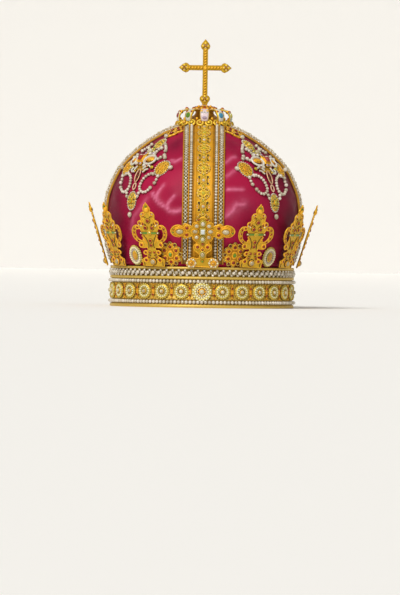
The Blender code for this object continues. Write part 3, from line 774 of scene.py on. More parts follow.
def circletPearls():
    form = circletPearlForm
    for name in ("lower", "upper"):
        piece = Piece()
        piece.add("pearl", pearl, spotsRound(form["count"], form["seat"] + form["radius"], form[name], form["radius"]))
        piece.make("circletPearls_" + name, "circlet_pearls_" + name)
    piece = Piece()
    for shift, level, size, seat in form["braid"]:
        places = spotsRound(form["braidCount"], form["seat"] + seat, form["braidLevel"] + level, size, shift)
        piece.add("pearl" if size > 1 else "goldPearl", pearl if size > 1 else bead, places)
    piece.make("circletPearlBraid", "circlet_pearl_braid")


circletPearls()
print("circlet pearls made")

# straps

strapForm = {
    # across and lift of the right half, from the middle out
    "section": (
        (0.0, 2.0), (4.0, 2.0), (7.4, 2.0), (7.8, 2.5), (8.6, 2.7), (9.6, 2.5), (10.2, 1.8), (10.4, 1.2),
        (10.8, 1.2), (11.1, 2.2), (11.4, 2.2), (11.6, 1.2), (14.8, 1.2), (15.0, 2.2), (15.4, 2.5), (15.9, 2.5),
        (16.2, 2.2), (16.4, 1.2), (20.6, 1.2), (20.8, 2.2), (21.5, 2.6), (22.3, 2.1), (22.5, 0.4),
    ),
    "under": 0.3, "rows": 72, "start": 2.8, "endRadius": 23.2, "firstRoundel": 22.3, "pitch": 28.5, "level": 2.0,
}


def strapBand():
    right = list(strapForm["section"])
    outline = [(-across, lift) for across, lift in reversed(right[1:])] + right
    outline += [(across, strapForm["under"]) for across in (22.5, 7.5, -7.5, -22.5)]
    arcs = np.linspace(strapForm["start"], arcAtRadius(strapForm["endRadius"]), strapForm["rows"])
    obj = outlined([(across, arcs[0], lift) for across, lift in outline])
    for low, high in zip(arcs, arcs[1:]):
        bpy.ops.mesh.extrude_region_move(TRANSFORM_OT_translate={"value": (0, high - low, 0)})
    closeUp()
    shape = taken(obj)
    # painted light and shade: the field is painted bright, the channels dark and the fillets between
    shape.relief = np.interp(shape.points[:, 2], (1.2, 2.0, 2.2, 2.7), (0.0, 0.66, 0.30, 0.42))
    # painted shade on the outer borders
    shape.relief[np.abs(shape.points[:, 0]) > 20.7] *= 0.6
    return shape


def roundelShapes():
    # a large roundel of interlaced loops in a ring, and a small one between leaf scrolls
    large = [circlePath(0, 0, 6.4, steps=20), circlePath(0, 0, 3.4, steps=12)]
    large += [circlePath(x, y, 2.0, steps=9) for x, y in around(4, 4.6, 45)]
    large += [circlePath(x, y, 1.2, steps=7) for x, y in around(4, 4.6)]
    small = [circlePath(0, 0, 3.4, steps=14), circlePath(0, 6.2, 2.0, steps=9), circlePath(0, -6.2, 2.0, steps=9)]
    for side, end in ((1, 1), (1, -1), (-1, 1), (-1, -1)):
        scroll = circlePath(0, 0, 1.8, -80, 230, steps=10)
        small.append([(side * (4.4 + x), end * (3.8 + y)) for x, y in scroll])
    return wired(large, 1.1, 0.85), wired(small, 1.0, 0.85)


def strapPieces():
    band, (largeRoundel, smallRoundel) = strapBand(), roundelShapes()
    level = strapForm["level"]
    last = arcAtRadius(strapForm["endRadius"]) - 4.0
    middles = [(0.0, arc) for arc in np.arange(strapForm["firstRoundel"], last, strapForm["pitch"] / 2)]
    large, small = middles[::2], middles[1::2]
    for quarter, angle in quarters.items():
        piece = Piece(onStrap, angle)
        piece.add("strapGold", band)
        # dark discs of painted shade under the roundels and the scrolls
        piece.put("paintedShade", sheetRoundel, large, level - 0.2, 7.3, 0.6)
        piece.put("paintedShade", sheetRoundel, small, level - 0.2, 4.4, 0.6)
        scrolls = [(-4.4, -3.8), (-4.4, 3.8), (4.4, -3.8), (4.4, 3.8)]
        piece.put("paintedShade", sheetRoundel, shifted(small, scrolls), level - 0.2, 1.7, 0.6)
        piece.put("yellowGold", largeRoundel, large, level + 0.4)
        piece.put("yellowGold", smallRoundel, small, level + 0.4)
        piece.put("brightGold", collet, large, level, 2.7, 1.6)
        piece.put("limeStone", cabochon, large, level, 2.7, 1.7)
        piece.put("brightGold", collet, small, level, 2.6, 1.4)
        piece.put("goldPearl", cabochon, small, level, 2.2, 1.8)
        piece.put("limeStone", bead, shifted(small, [(0, -6.2), (0, 6.2)]), level + 0.2, 1.3, 0.9)
        # pink-gold beads round the large roundels are painted highlights on the wire
        piece.put("pinkGold", bead, shifted(large, around(12, 6.5)), level + 0.6, 0.7)
        piece.put("amber", bead, shifted(large, around(4, 4.6, 45)), level + 0.2, 0.9, 0.8)
        piece.put("garnet", bead, shifted(large, around(4, 4.6)), level + 0.2, 0.6, 0.6)
        beads = [(-6.2, -1.0), (-6.2, 1.0), (6.2, -1.0), (6.2, 1.0)]
        piece.put("pinkGold", bead, shifted(small, beads), level, 0.8)
        piece.make("strapBand_" + quarter, "strap_" + quarter)


strapPieces()
print("straps made")

strapPearlForm = {
    "start": 8.5, "endRadius": 24.2, "row": 13.2, "rowRadius": 1.52, "rowPitch": 3.3,
    # the lattice is two zigzag strings that cross, with larger pearls where they meet
    "lattice": 18.5, "half": 1.6, "cell": 4.0,
}


def strapPearls():
    form = strapPearlForm
    end = arcAtRadius(form["endRadius"])
    rowArcs = np.arange(form["start"], end, form["rowPitch"])
    half, cell, radius = form["half"], form["cell"], form["rowRadius"]
    for quarter, angle in quarters.items():
        for sideName, sign in (("a", -1), ("b", 1)):
            piece = Piece(onStrap, angle)
            piece.put("pearl", pearl, [(sign * form["row"], arc) for arc in rowArcs], 1.3 + radius, radius)
            big, small = [], []
            middle = sign * form["lattice"]
            for arc in np.arange(form["start"], end - cell, cell):
                big.append((middle, arc, 2.4, 1.22))
                for beside in (-half, half):
                    big.append((middle + beside, arc + cell / 2, 2.1, 0.76))
                    small += [(middle + beside / 2, arc + share * cell, 2.0, 0.68) for share in (0.25, 0.75)]
            piece.add("pearl", seed, big)
            piece.add("goldPearl", bead, small)
            piece.make(f"strapPearls_{quarter}_{sideName}", f"strap_pearls_{quarter}_{sideName}")


strapPearls()
print("strap pearls made")

# fleurons

plateForm = {"base": 101.2, "reach": 21.4, "thick": 1.2, "step": 30}


def platePlace(angle, length):
    # a plate that stands on the circlet and leans outwards
    lean = math.asin(plateForm["reach"] / length)
    out, side = directions(angle)
    up = out * math.sin(lean) + Vector((0, 0, math.cos(lean)))
    return frameAt(out * plateForm["base"] + Vector((0, 0, circletForm["height"])), side, up, side.cross(up))


fleuronForm = {
    # across and along of the right half of the sheet
    "half": (
        (12.9, 0.2), (12.9, 4.1), (13.8, 6.0), (13.2, 8.2), (10.0, 9.2), (7.0, 11.2), (6.2, 13.2), (9.0, 13.6),
        (10.8, 15.4), (9.6, 17.2), (6.0, 17.6), (4.6, 19.6), (5.8, 21.6), (8.8, 21.2), (12.8, 21.4), (14.2, 24.0),
        (13.2, 26.4), (16.8, 29.0), (20.0, 32.6), (21.3, 37.6), (20.5, 42.4), (17.8, 45.6), (14.6, 46.2),
        (11.8, 45.2), (12.6, 48.0), (11.2, 50.8), (8.6, 51.8), (8.2, 54.6), (8.6, 57.4), (6.8, 60.2), (4.4, 60.6),
        (3.6, 62.2), (4.4, 64.2), (3.2, 66.6), (1.4, 68.8), (0.0, 71.4),
    ),
    "holes": (
        ((10.6, 41.2), (8.0, 33.4), (8.6, 29.6), (11.2, 29.0), (14.6, 31.2), (16.6, 34.6), (17.0, 38.4),
         (16.0, 41.6), (13.6, 42.8)),
        ((6.2, 45.2), (8.8, 46.2), (9.4, 48.4), (7.4, 50.0), (5.8, 48.2)),
        ((3.8, 58.0), (6.0, 57.8), (6.2, 59.4), (4.0, 59.8)),
    ),
    # across, along and radius
    "garnets": (
        (8.4, 7.5, 1.9), (2.7, 16.0, 1.6), (7.8, 16.0, 1.6), (0.0, 23.9, 1.9), (0.0, 29.0, 2.1), (4.0, 43.3, 2.3),
        (0.0, 51.1, 2.5), (4.4, 10.8, 1.4), (11.9, 24.3, 1.7), (14.7, 29.2, 1.4), (17.8, 33.6, 1.4),
        (18.9, 38.0, 1.4), (18.0, 42.1, 1.4), (14.1, 44.0, 1.5), (10.3, 48.6, 1.5), (5.0, 56.2, 1.2),
    ),
    # wire rings, some round the garnets and some open
    "volutes": (
        (11.9, 24.3, 3.3), (10.3, 48.6, 3.0), (5.0, 58.8, 2.6), (7.8, 16.0, 2.7), (8.4, 7.5, 3.3),
        (6.2, 52.0, 1.8), (8.0, 30.0, 1.8), (14.0, 44.0, 2.6), (6.0, 33.0, 1.4), (2.0, 60.0, 1.4),
    ),
    # dark lines of painted shade in the vase's body, and rows of beads beside them
    "shadeGrooves": (
        ((3.4, 21.0), (3.0, 26.0), (5.0, 31.0), (7.6, 35.0)), ((3.0, 46.5), (6.2, 47.8)), ((2.0, 12.5), (5.0, 13.5)),
        ((11.2, 1.2), (11.2, 5.0)), ((2.2, 55.5), (3.4, 54.5)),
    ),
    "beads": (((5.2, 26.2), (9.4, 34.4)), ((16.0, 31.8), (20.0, 38.0)), ((2.0, 69.0), (3.6, 65.4))),
    "bar": 37.6, "barWidth": 15.5,
}


def fleuronPiece():
    form, thick = fleuronForm, plateForm["thick"]
    outline = wholeOutline(curveThrough(form["half"]))
    paths = [outline, *mirrored([[tuple(p) for p in curveThrough(hole, closed=True)] for hole in form["holes"]])]
    parts = Piece()
    parts.add("yellowGold", plated(paths, thick, relief=0.56))
    parts.add("orangeGold", wired(lifted(paths, thick), 0.9, 0.9, cyclic=True))
    parts.stones("garnet", "brightGold", [(x, y, thick - 0.2, r, r * 0.9) for x, y, r in bothSides(form["garnets"])])
    volutes = bothSides(form["volutes"])
    parts.add("brightGold", ring, [(x, y, thick - 0.4, r, r * 0.8) for x, y, r in volutes])
    parts.stones("goldPearl", "brightGold", [(0, 5.8, thick - 0.2, 3.4, 3.6)])
    # the green bar across the vase's neck with its middle stone, over a dark plate of painted shade
    wide, neck = form["barWidth"], [(0.0, form["bar"])]
    bar = turned(((wide, 0.0), (wide - 0.3, 0.6), (wide - 2.0, 1.2)), 4, smooth=False, turn=45)
    bar.points[:, 1] *= 0.125
    parts.put("paintedShade", bar, neck, thick - 0.8, 1.0, 1.2, 1.10)
    parts.put("greenStone", bar, neck, thick - 0.2, 0.86)
    parts.put("gold", ring, neck, thick, 2.6, 2.6)
    parts.put("limeStone", cutStone, neck, thick, 2.3, 2.2)
    # white seeds at the ends of the green bar, and light seeds and beads on the handles and below the tip, which are
    # painted highlights
    for finish, shape, spots, lift, size in (
        ("creamGold", seed, [(10.4, 37.6), (8.8, 45.6)], 0.4, 1.0),
        ("pearl", bead, [(11.2, 47.0), (6.6, 58.6)], 0.5, 0.8),
    ):
        parts.put(finish, shape, [(sign * x, y) for sign in (1, -1) for x, y in spots], thick + lift, size)
    # the knob below the tip and the green stone on it
    parts.put("brightGold", pearl, [(0, 63.4)], thick, 3.2, 2.2)
    parts.put("greenStone", cabochon, [(0, 66.8)], thick, 1.4, 1.6)
    shadeGrooves = mirrored([curveThrough(path) for path in form["shadeGrooves"]])
    # the lines of painted shade are dark wires
    parts.add("paintedShade", wired(lifted(shadeGrooves, thick + 0.1), 0.9, 0.2))
    for path in mirrored(form["beads"]):
        parts.put("brightGold", bead, alongPath(path, 1.3), thick + 0.2, 0.7)
    for i in range(1, 360 // plateForm["step"]):
        place = platePlace(plateForm["step"] * i, max(y for _, y in outline))
        parts.copyTo(place, f"fleuronPlate_{i:02d}", f"fleuron_{i:02d}", "gold")


fleuronPiece()
print("fleurons made")

# front cross

crossPlateForm = {
    "half": (
        (15.6, 0.0), (17.0, 5.5), (11.5, 10.8), (4.6, 10.0), (3.4, 15.0), (9.0, 20.4), (9.0, 25.6), (5.8, 28.0),
        (10.4, 32.6), (11.0, 36.2), (15.0, 34.6), (19.3, 33.2), (21.5, 36.6), (25.0, 34.9), (31.0, 36.3),
        (34.2, 41.6), (31.0, 46.9), (25.0, 48.3), (21.5, 46.6), (19.3, 50.0), (15.0, 48.6), (11.0, 47.0),
        (10.4, 50.6), (6.0, 52.0), (3.4, 56.2), (0.0, 57.4),
    ),
    # across and along of each setting, its half width and half height, and the stone in it
    "settings": (
        (0.0, 41.6, 4.0, 4.7, "whiteStone"), (8.2, 41.6, 3.6, 2.8, "goldPearl"), (0.0, 50.3, 2.7, 3.4, "pearl"),
        (0.0, 32.9, 2.7, 3.4, "goldPearl"), (6.6, 48.0, 2.8, 2.8, "goldPearl"), (6.6, 35.2, 2.8, 2.8, "goldPearl"),
        (24.6, 41.6, 5.0, 3.7, "goldPearl"), (17.0, 45.5, 2.1, 2.1, "garnet"), (17.0, 37.7, 2.1, 2.1, "garnet"),
        (5.3, 23.8, 2.1, 2.1, "garnet"), (0.0, 27.0, 1.6, 1.6, "garnet"), (0.0, 15.0, 2.7, 3.4, "goldPearl"),
        (31.0, 43.2, 1.1, 1.1, "garnet"), (31.6, 40.0, 1.1, 1.1, "greenStone"), (4.5, 54.8, 1.3, 1.3, "garnet"),
        (0.0, 7.2, 1.5, 1.5, "greenStone"), (0.0, 20.6, 1.4, 1.4, "garnet"), (11.8, 5.2, 2.4, 2.4, "amber"),
    ),
    # wire rings: across, along and radius
    "rings": (
        (17.0, 45.5, 3.8), (17.0, 37.7, 3.8), (5.3, 23.8, 3.4), (24.6, 41.6, 6.4), (11.0, 41.6, 2.0),
        (3.2, 45.4, 1.8), (0.0, 20.6, 2.6), (11.8, 5.2, 3.6),
    ),
    "stem": (((2.8, 10.5), (2.8, 19.0)), ((8.0, 25.5), (6.0, 30.0))), "foot": (11.8, 5.2), "arm": (24.6, 41.6),
}


def frontCross():
    form, thick = crossPlateForm, plateForm["thick"]
    outline = wholeOutline(curveThrough(form["half"]))
    parts = Piece()
    parts.add("yellowGold", plated([outline], thick, relief=0.52))
    parts.add("brightGold", wired(lifted([outline], thick), 1.1, 0.9, cyclic=True))
    for x, y, radius in bothSides(form["rings"]):
        parts.put("brightGold", ring, [(x, y)], thick - 0.3, radius, 2.8)
    for x, y, wide, tall, stone in bothSides(form["settings"]):
        spot, level = [(x, y)], min(wide, tall) * 1.15
        if stone == "whiteStone":
            parts.put("greenGold", squareCollet, spot, thick, tall * 0.86, level, wide * 0.86)
            parts.put(stone, squareStone, spot, thick, tall * 0.72, level, wide * 0.72)
        elif stone in ("pearl", "goldPearl"):
            metal = "greenGold" if tall > wide else "orangeGold"
            parts.put(metal, collet, spot, thick, tall * 1.25, level, wide * 1.22)
            parts.put(stone, pearl, spot, thick + level * 0.5, tall * 0.74, level * 0.5, wide * 0.80)
        else:
            parts.stones(stone, "brightGold", [(x, y, thick, tall, level, wide)])
    for sign in (1, -1):
        foot, arm = ([(sign * x, y)] for x, y in (form["foot"], form["arm"]))
        parts.put("creamGold", seed, shifted(foot, around(6, 4.4)), thick + 0.6, 1.4)
        parts.put("pinkGold", bead, shifted(foot, around(6, 4.4, 30)), thick + 0.4, 1.1)
        parts.put("brightGold", bead, shifted(arm, around(16, 6.0, wide=1.12)), thick + 0.6, 0.8)
    for path in mirrored(form["stem"]):
        parts.put("brightGold", bead, alongPath(path, 1.4), thick + 0.3, 0.7)
    parts.copyTo(platePlace(0, max(y for _, y in outline)), "frontCrossPlate", "front_cross", "gold")


frontCross()
print("front cross made")

# studs

studForm = {
    "rosette": {"beside": 19.5, "arc": 14.0, "radius": 12.6, "garnets": 6},
    "pearlStud": {"arc": 12.2, "radius": 11.2, "wide": 9.2},
}


def rosetteParts():
    # a rosette whose openwork is only shown by small dark discs of painted shade: scalloped rim, main garnets between
    # wire loops, oval green middle
    form = studForm["rosette"]
    wide, tall, count = form["radius"], form["radius"] * 1.10, form["garnets"]
    parts = Piece()

    def oval(share, many, start=90.0):
        return around(many, tall * share, start, wide / tall)

    base = turned(((0.90, 0.0), (0.92, 0.8), (0.84, 1.4), (0.3, 1.7)), 24, relief=0.30)
    rim, between = oval(0.86, count * 2), 90 + 180 / count
    parts.put("orangeGold", base, origin, 0, tall, 1.0, wide)
    parts.put("paintedShade", sheetRoundel, oval(0.84, count * 2), 1.0, wide * 0.13, 0.6)
    parts.put("greenGold", ring, rim, 0.6, wide * 0.17, wide * 0.17)
    parts.put("garnet", bead, rim[1::2], 1.4, 1.1)
    parts.put("brightGold", bead, rim[::2], 1.4, 1.1)
    parts.put("brightGold", ring, oval(0.60, count), 0.8, wide * 0.27, wide * 0.20)
    parts.stones("garnet", "gold", [(x, y, 1.3, 2.2, 2.2) for x, y in oval(0.60, count)])
    parts.put("brightGold", ring, oval(0.47, count, between), 1.0, wide * 0.14, wide * 0.12)
    parts.put("greenGold", bead, oval(0.68, count, between), 1.6, 1.0)
    parts.put("brightGold", ring, origin, 1.4, tall * 0.33, wide * 0.26, wide * 0.28)
    parts.stones("greenStone", "brightGold", [(0, 0, 1.8, 3.0, 2.6, 2.4)])
    return parts


def pearlStudParts():
    tall, wide = studForm["pearlStud"]["radius"], studForm["pearlStud"]["wide"]
    parts = Piece()
    parts.put("creamGold", disc, origin, 0, tall * 0.92, 1.8, wide * 0.92)
    for share, count, size, level, finish, shape in (
        (0.93, 26, 1.05, 1.0, "greenGold", bead), (0.76, 22, 1.50, 2.0, "creamGold", seed),
        (0.58, 18, 0.80, 2.0, "pinkEnamel", bead),
    ):
        parts.put(finish, shape, around(count, tall * share, 0, wide / tall), level, size)
    parts.put("greenGold", collet, origin, 1.4, tall * 0.54, 2.6, wide * 0.42)
    parts.put("amber", cutStone, origin, 1.4, tall * 0.52, 3.0, wide * 0.38)
    return parts


rosette, stud = rosetteParts(), pearlStudParts()
for quarter, middle in quarters.items():
    for sideName, sign in (("a", -1), ("b", 1)):
        place = domeFrame(middle + sign * studForm["rosette"]["beside"], studForm["rosette"]["arc"])
        rosette.copyTo(place, f"garnetRosette_{quarter}_{sideName}", f"rosette_{quarter}_{sideName}", "gold")
for corner, middle in corners.items():
    place = domeFrame(middle, studForm["pearlStud"]["arc"])
    stud.copyTo(place, "pearlStud_" + corner, "pearl_stud_" + corner, "pearl")
print("studs made")

# sprays

sprayForm = {
    "turn": 2.0, "string": 1.72, "pitch": 3.4, "end": 2.1,
    # across and arc of each string on one side
    "strings": (
        ((10.5, 142.5), (13.0, 139.5), (15.5, 136.5), (18.0, 132.0)),
        ((10.0, 136.5), (7.5, 134.5), (6.5, 130.5), (7.0, 126.7), (10.5, 122.5), (15.0, 120.0), (18.5, 122.0)),
        ((21.0, 125.5), (24.0, 121.7)), ((27.5, 98.0), (27.0, 94.0), (26.5, 90.0)),
        ((21.0, 100.5), (17.0, 101.0), (14.0, 99.2), (11.2, 97.0), (9.4, 94.0), (8.5, 90.5), (8.0, 87.0),
         (8.9, 83.2), (13.0, 80.0), (17.2, 79.8), (20.4, 81.8), (23.0, 84.5)),

    ),
    # across, arc, half width, half height
    "rosettes": ((0.0, 145.0, 6.0, 8.8), (0.0, 70.5, 6.4, 9.8), (27.5, 108.5, 8.0, 9.4)),
    "tips": ((0.0, 157.2, 2.6, 2.7), (0.0, 55.6, 2.4, 3.1), (38.3, 108.0, 2.7, 2.4), (9.2, 78.5, 1.8, 1.8),
             (8.1, 75.0, 1.8, 1.8)),
    # towards the side strap, arc, half width and half height of the enamel shells, and of the square stone
    "shells": ((-7.2, 117.8, 7.8, 6.0), (17.2, 116.5, 4.4, 5.4)), "square": (6.6, 119.5, 5.4),
    # towards the side strap and arc of the enamel flames
    "flames": (
        ((-13.0, 108.5), (-10.4, 110.5), (-7.0, 109.0), (-4.4, 106.0)), ((-11.8, 106.0), (-8.5, 105.0), (-6.0, 102.0)),
        ((6.0, 109.5), (7.8, 106.0), (7.4, 102.0)), ((10.5, 108.0), (12.8, 105.0), (10.8, 102.5), (8.6, 104.0)),
        ((-4.2, 130.0), (-7.0, 128.0), (-6.2, 125.5)),
    ),
    "pearls": ((-3.6, 110.5), (10.0, 113.0), (11.0, 123.8), (-1.2, 127.0)), "star": (2.2, 131.8),
    # across, arc, size and finish of the small stones round the middle
    "stones": (
        (5.0, 127.5, 1.8, "violetStone"), (4.0, 113.0, 1.9, "violetStone"), (8.2, 110.0, 1.6, "garnet"),
        (15.0, 108.5, 1.9, "limeStone"), (0.0, 136.0, 1.3, "greenStone"), (7.0, 104.0, 1.5, "limeStone"),
    ),
}


def sprayRosette(piece, x, y, wide, tall):
    # a gold drop with a border of seed pearls, loops of wire and a green or amber middle, over a dark disc of painted
    # shade
    def oval(share, many, start=90.0):
        return shifted(spot, around(many, tall * share, start, wide / tall))

    spot, side = [(x, y)], abs(x) > 10
    piece.put("gold", disc, spot, 0.1, tall * 0.93, 1.6, wide * 0.93)
    piece.put("pearl", seed, oval(1.0, 24, 0.0), 0.9, 0.9)
    piece.put("paintedShade", sheetRoundel, spot, 1.4, tall * 0.80, 0.5, wide * 0.80)
    piece.put("orangeGold" if side else "greenGold", ring, oval(0.60, 7), 1.2, wide * 0.32, 2.2)
    piece.put("brightGold", bead, oval(0.60, 7), 1.6, 1.0)
    piece.put("brightGold", collet, spot, 1.4, tall * 0.33, 2.2, wide * 0.36)
    piece.put("amber" if side else "limeStone", cutStone, spot, 1.4, tall * 0.30, 2.8, wide * 0.30)
    piece.put("greenGold", bead, oval(0.80, 7, 116), 1.4, 0.9)


def sprayPiece(corner, middle):
    form = sprayForm
    # the design's outer side lies towards the side strap
    outer = math.copysign(1.0, math.sin(math.radians(2 * middle)))
    piece = Piece(onDome, middle + outer * form["turn"])
    radius, end = form["string"], form["end"]
    for path in mirrored(form["strings"]):
        spots = alongPath(curveThrough(path, 6), form["pitch"])
        piece.put("pearl", pearl, spots[1:-1], radius - 0.1, radius)
        piece.put("pearl", pearl, spots[[0, -1]], end - 0.1, end)
    for x, y, wide, tall in bothSides(form["rosettes"]):
        sprayRosette(piece, x, y, wide, tall)
    piece.add("pearl", pearl, [(x, y, wide, tall, wide, wide) for x, y, wide, tall in bothSides(form["tips"])])
    piece.put("pinkGold", ring, [(0, 86.2)], 0.8, 4.6, 3.0, 2.8)
    # the middle: a square stone between enamel shells, with enamel flames and a long loop below; dark discs of painted
    # shade lie in the shells and the loop
    piece.put("gold", disc, [(outer * 1.5, 115.5)], 0.1, 11.0, 1.6, 12.5)
    for x, y, wide, tall in form["shells"]:
        x *= outer
        rim = circlePath(0, 0, wide, 50, 400, squash=tall / wide)
        shell, inner = shifted([(x, y)], rim), shifted([(x, y)], [(a * 0.78, b * 0.78) for a, b in rim])
        piece.add("whiteEnamel", wired(lifted([shell], 3.0), 2.3, 0.8))
        piece.add("pinkGold", wired(lifted([inner], 2.6), 1.3, 0.8))
        piece.put("paintedShade", sheetRoundel, [(x, y)], 1.4, tall * 0.85, 0.6, wide * 0.85)
        piece.put("brightGold", cabochon, [(x, y + tall * 0.12)], 1.4, tall * 0.70, 2.6, wide * 0.92)
        piece.put("garnet", bead, [(x + k, y - tall * 0.2) for k in (-2, 0, 2)], 3.6, 0.7, 0.5)
    flames = [[(outer * x, y) for x, y in curveThrough(path, 4)] for path in form["flames"]]
    piece.add("whiteEnamel", wired(lifted(flames, 2.6), 1.9, 0.7))
    piece.add("pinkGold", wired(lifted([circlePath(0, 98.5, 3.0, steps=14, squash=2.5)], 2.2), 1.4, 0.6))
    piece.put("paintedShade", sheetRoundel, [(0, 98.5)], 0.6, 6.6, 0.8, 2.8)
    piece.put("garnet", bead, [(0, y) for y in (95.0, 98.5, 102.0)], 1.8, 1.0, None, 1.3)
    x, y, half = form["square"]
    for finish, shape, lift, size, tall, wide in (
        ("orangeGold", squareCollet, 1.6, half, 4.0, None), ("orangeGold", squareStone, 1.6, half * 0.80, 3.0, None),
        ("redStone", squareStone, 3.4, half * 0.72, 3.4, half * 0.60),
    ):
        piece.put(finish, shape, [(outer * x, y)], lift, size, tall, wide)
    x, y = form["star"]
    piece.put("greenGold", bead, shifted([(outer * x, y)], around(7, 4.0)), 1.2, 1.7)
    piece.put("goldPearl", pearl, [(outer * x, y)], 2.2, 2.9)
    piece.put("pearl", pearl, [(outer * x, y) for x, y in form["pearls"]], 2.6, 2.1)
    for x, y, size, finish in bothSides(form["stones"]):
        piece.stones(finish, "gold", [(x, y, 1.4, size, 2.4)])
    piece.make("pearlSpray_" + corner, "spray_" + corner)


for corner, middle in corners.items():
    sprayPiece(corner, middle)
print("sprays made")

# across, arc, half side and height
clusterForm = ((0.0, 164.3, 4.8, 3.0), (4.6, 170.9, 3.7, 2.8), (-4.6, 170.9, 3.7, 2.8), (0.0, 175.2, 3.2, 3.0))
for corner, middle in corners.items():
    piece = Piece()
    for across, arc, half, height in clusterForm:
        place = domeFrame(middle, arc, across) @ Matrix.Rotation(math.radians(45), 4, "Z")
        # each garnet lies in a dark disc of painted shade
        for finish, shape, lift, size, tall in (
            ("orangeGold", squareCollet, 0, half, height), ("gold", ring, height * 0.35, half * 0.98, height * 0.8),
            ("paintedShade", paintedShade, height * 0.40, half * 0.50, height),
            ("garnet", cabochon, height * 0.30, half * 0.52, height),
        ):
            piece.add(finish, shape, [place @ at(0, 0, lift, size, tall)])
        ends = [(x * half, y * half) for x in (1, -1) for y in (1, -1)]
        piece.add("gold", bead, [place @ at(x, y, height * 0.5, half * 0.28) for x, y in ends])
    piece.make("colletCluster_" + corner, "collet_cluster_" + corner)
print("clusters made")

# finial and cross

finialForm = {
    "section": (
        (22.2, 198.5), (28.2, 197.5), (29.0, 198.2), (29.0, 200.0), (28.0, 201.0), (26.6, 200.8), (24.0, 201.4),
        (19.0, 203.0), (14.0, 205.6), (10.8, 208.0), (9.8, 210.0), (10.1, 212.2), (9.6, 214.4), (7.6, 216.2),
        (5.2, 217.4), (3.0, 218.0),
    ),
    # radius, height and half width along a petal
    "petal": (
        (28.4, 201.0, 3.4), (29.2, 204.0, 4.2), (28.6, 207.6, 4.6), (26.2, 210.6, 4.4), (22.0, 212.2, 3.6),
        (16.0, 212.6, 2.6), (9.0, 212.2, 1.8),
    ),
    "scallops": 20, "petals": 10, "thick": 1.4,
    "enamels": ("pink", "white", "grey", "white", "grey", "pink", "white", "grey", "white", "white"),
    "gems": ("violetStone", "blueStone", "limeStone", "greenStone", "garnet", "violetStone", "blueStone", "limeStone",
             "garnet", "greenStone"),
    # grey marks on the front petal
    "marks": ((0.0, 1.2), (-1.6, 2.2), (1.6, 2.2), (0.0, 3.4), (-3.0, 3.6), (3.0, 3.6)),
    # balls round the knob: count, reach, height, size and finish
    "balls": ((10, 10.2, 214.2, 2.2, "brightGold"), (10, 10.2, 216.0, 1.2, "garnet"),
              (8, 6.8, 216.6, 1.9, "brightGold")),
}


def petalShape(grow, low, thick):
    # a band along the petal's path
    path = curveThrough(finialForm["petal"])
    edge, high = low + thick * 0.75, low + thick
    obj = outlined([(across, 0.0, level) for across, level in (
        (-1, low), (-0.5, low), (0.5, low), (1, low), (1, edge), (0.5, high), (-0.5, high), (-1, edge))])
    for _ in path[1:]:
        bpy.ops.mesh.extrude_region_move(TRANSFORM_OT_translate={"value": (0, 1.0, 0)})
    closeUp()
    shape = taken(obj, True, 0.8)
    run, rise = np.gradient(path[:, 0]), np.gradient(path[:, 1])
    row = np.round(shape.points[:, 1]).astype(int)
    radius, height, half = path[row].T
    out, up = (rise / np.hypot(run, rise))[row], (-run / np.hypot(run, rise))[row]
    level = shape.points[:, 2]
    shape.points = np.stack([shape.points[:, 0] * half * grow, -(radius + level * out), height + level * up], axis=1)
    return shape


def petalPart(piece, i, petal, inlay):
    form = finialForm
    turn = Matrix.Rotation(math.radians(360 * i / form["petals"]), 4, "Z")

    def leaning(y, z, angle):
        return turn @ Matrix.Translation((0, y, z)) @ Matrix.Rotation(math.radians(angle), 4, "X")

    # the front rib is broader, with a lying oval stone and grey marks over it
    for finish, shape, broad in (("yellowGold", petal, 1.12), (form["enamels"][i] + "Enamel", inlay, 1.32)):
        piece.add(finish, shape, [turn @ Matrix.Diagonal((1.0 if i else broad, 1.0, 1.0, 1.0))])
    gem, crest = leaning(-28.8, 206.6, 82), leaning(-27.6, 210.8, 40)
    if i:
        piece.add("yellowGold", collet, [gem @ at(0, 0, 0, 3.9, 2.2)])
        piece.add(form["gems"][i], cutStone, [gem @ at(0, 0, 0, 3.8, 3.0)])
        piece.add("garnet", bead, [crest @ at(x, 0, 0, 1.5) for x in (-2.8, 2.8)])
    else:
        piece.add("pinkGold", collet, [gem @ at(0, -2.6, 0, 2.2, 2.0, 3.6)])
        piece.add(form["gems"][i], cutStone, [gem @ at(0, -2.6, 0, 2.1, 3.0, 3.6)])
        piece.add("greyEnamel", bead, [gem @ at(x, y, 0.6, 1.0) for x, y in form["marks"]])
    piece.add("brightGold", bead, [crest @ at(x, 0.6, -0.4, 1.9) for x in (-3.0, 3.0)])
    piece.stones("garnet" if i % 2 else "redStone", "brightGold", [leaning(-20.0, 213.4, 12) @ at(0, 0, 0, 2.2, 2.6)])
    between = Matrix.Rotation(math.radians(360 * (i + 0.5) / form["petals"]), 4, "Z")
    piece.add("brightGold", pearl, [between @ at(0, -26.2, 203.0, 1.7, 2.2)])


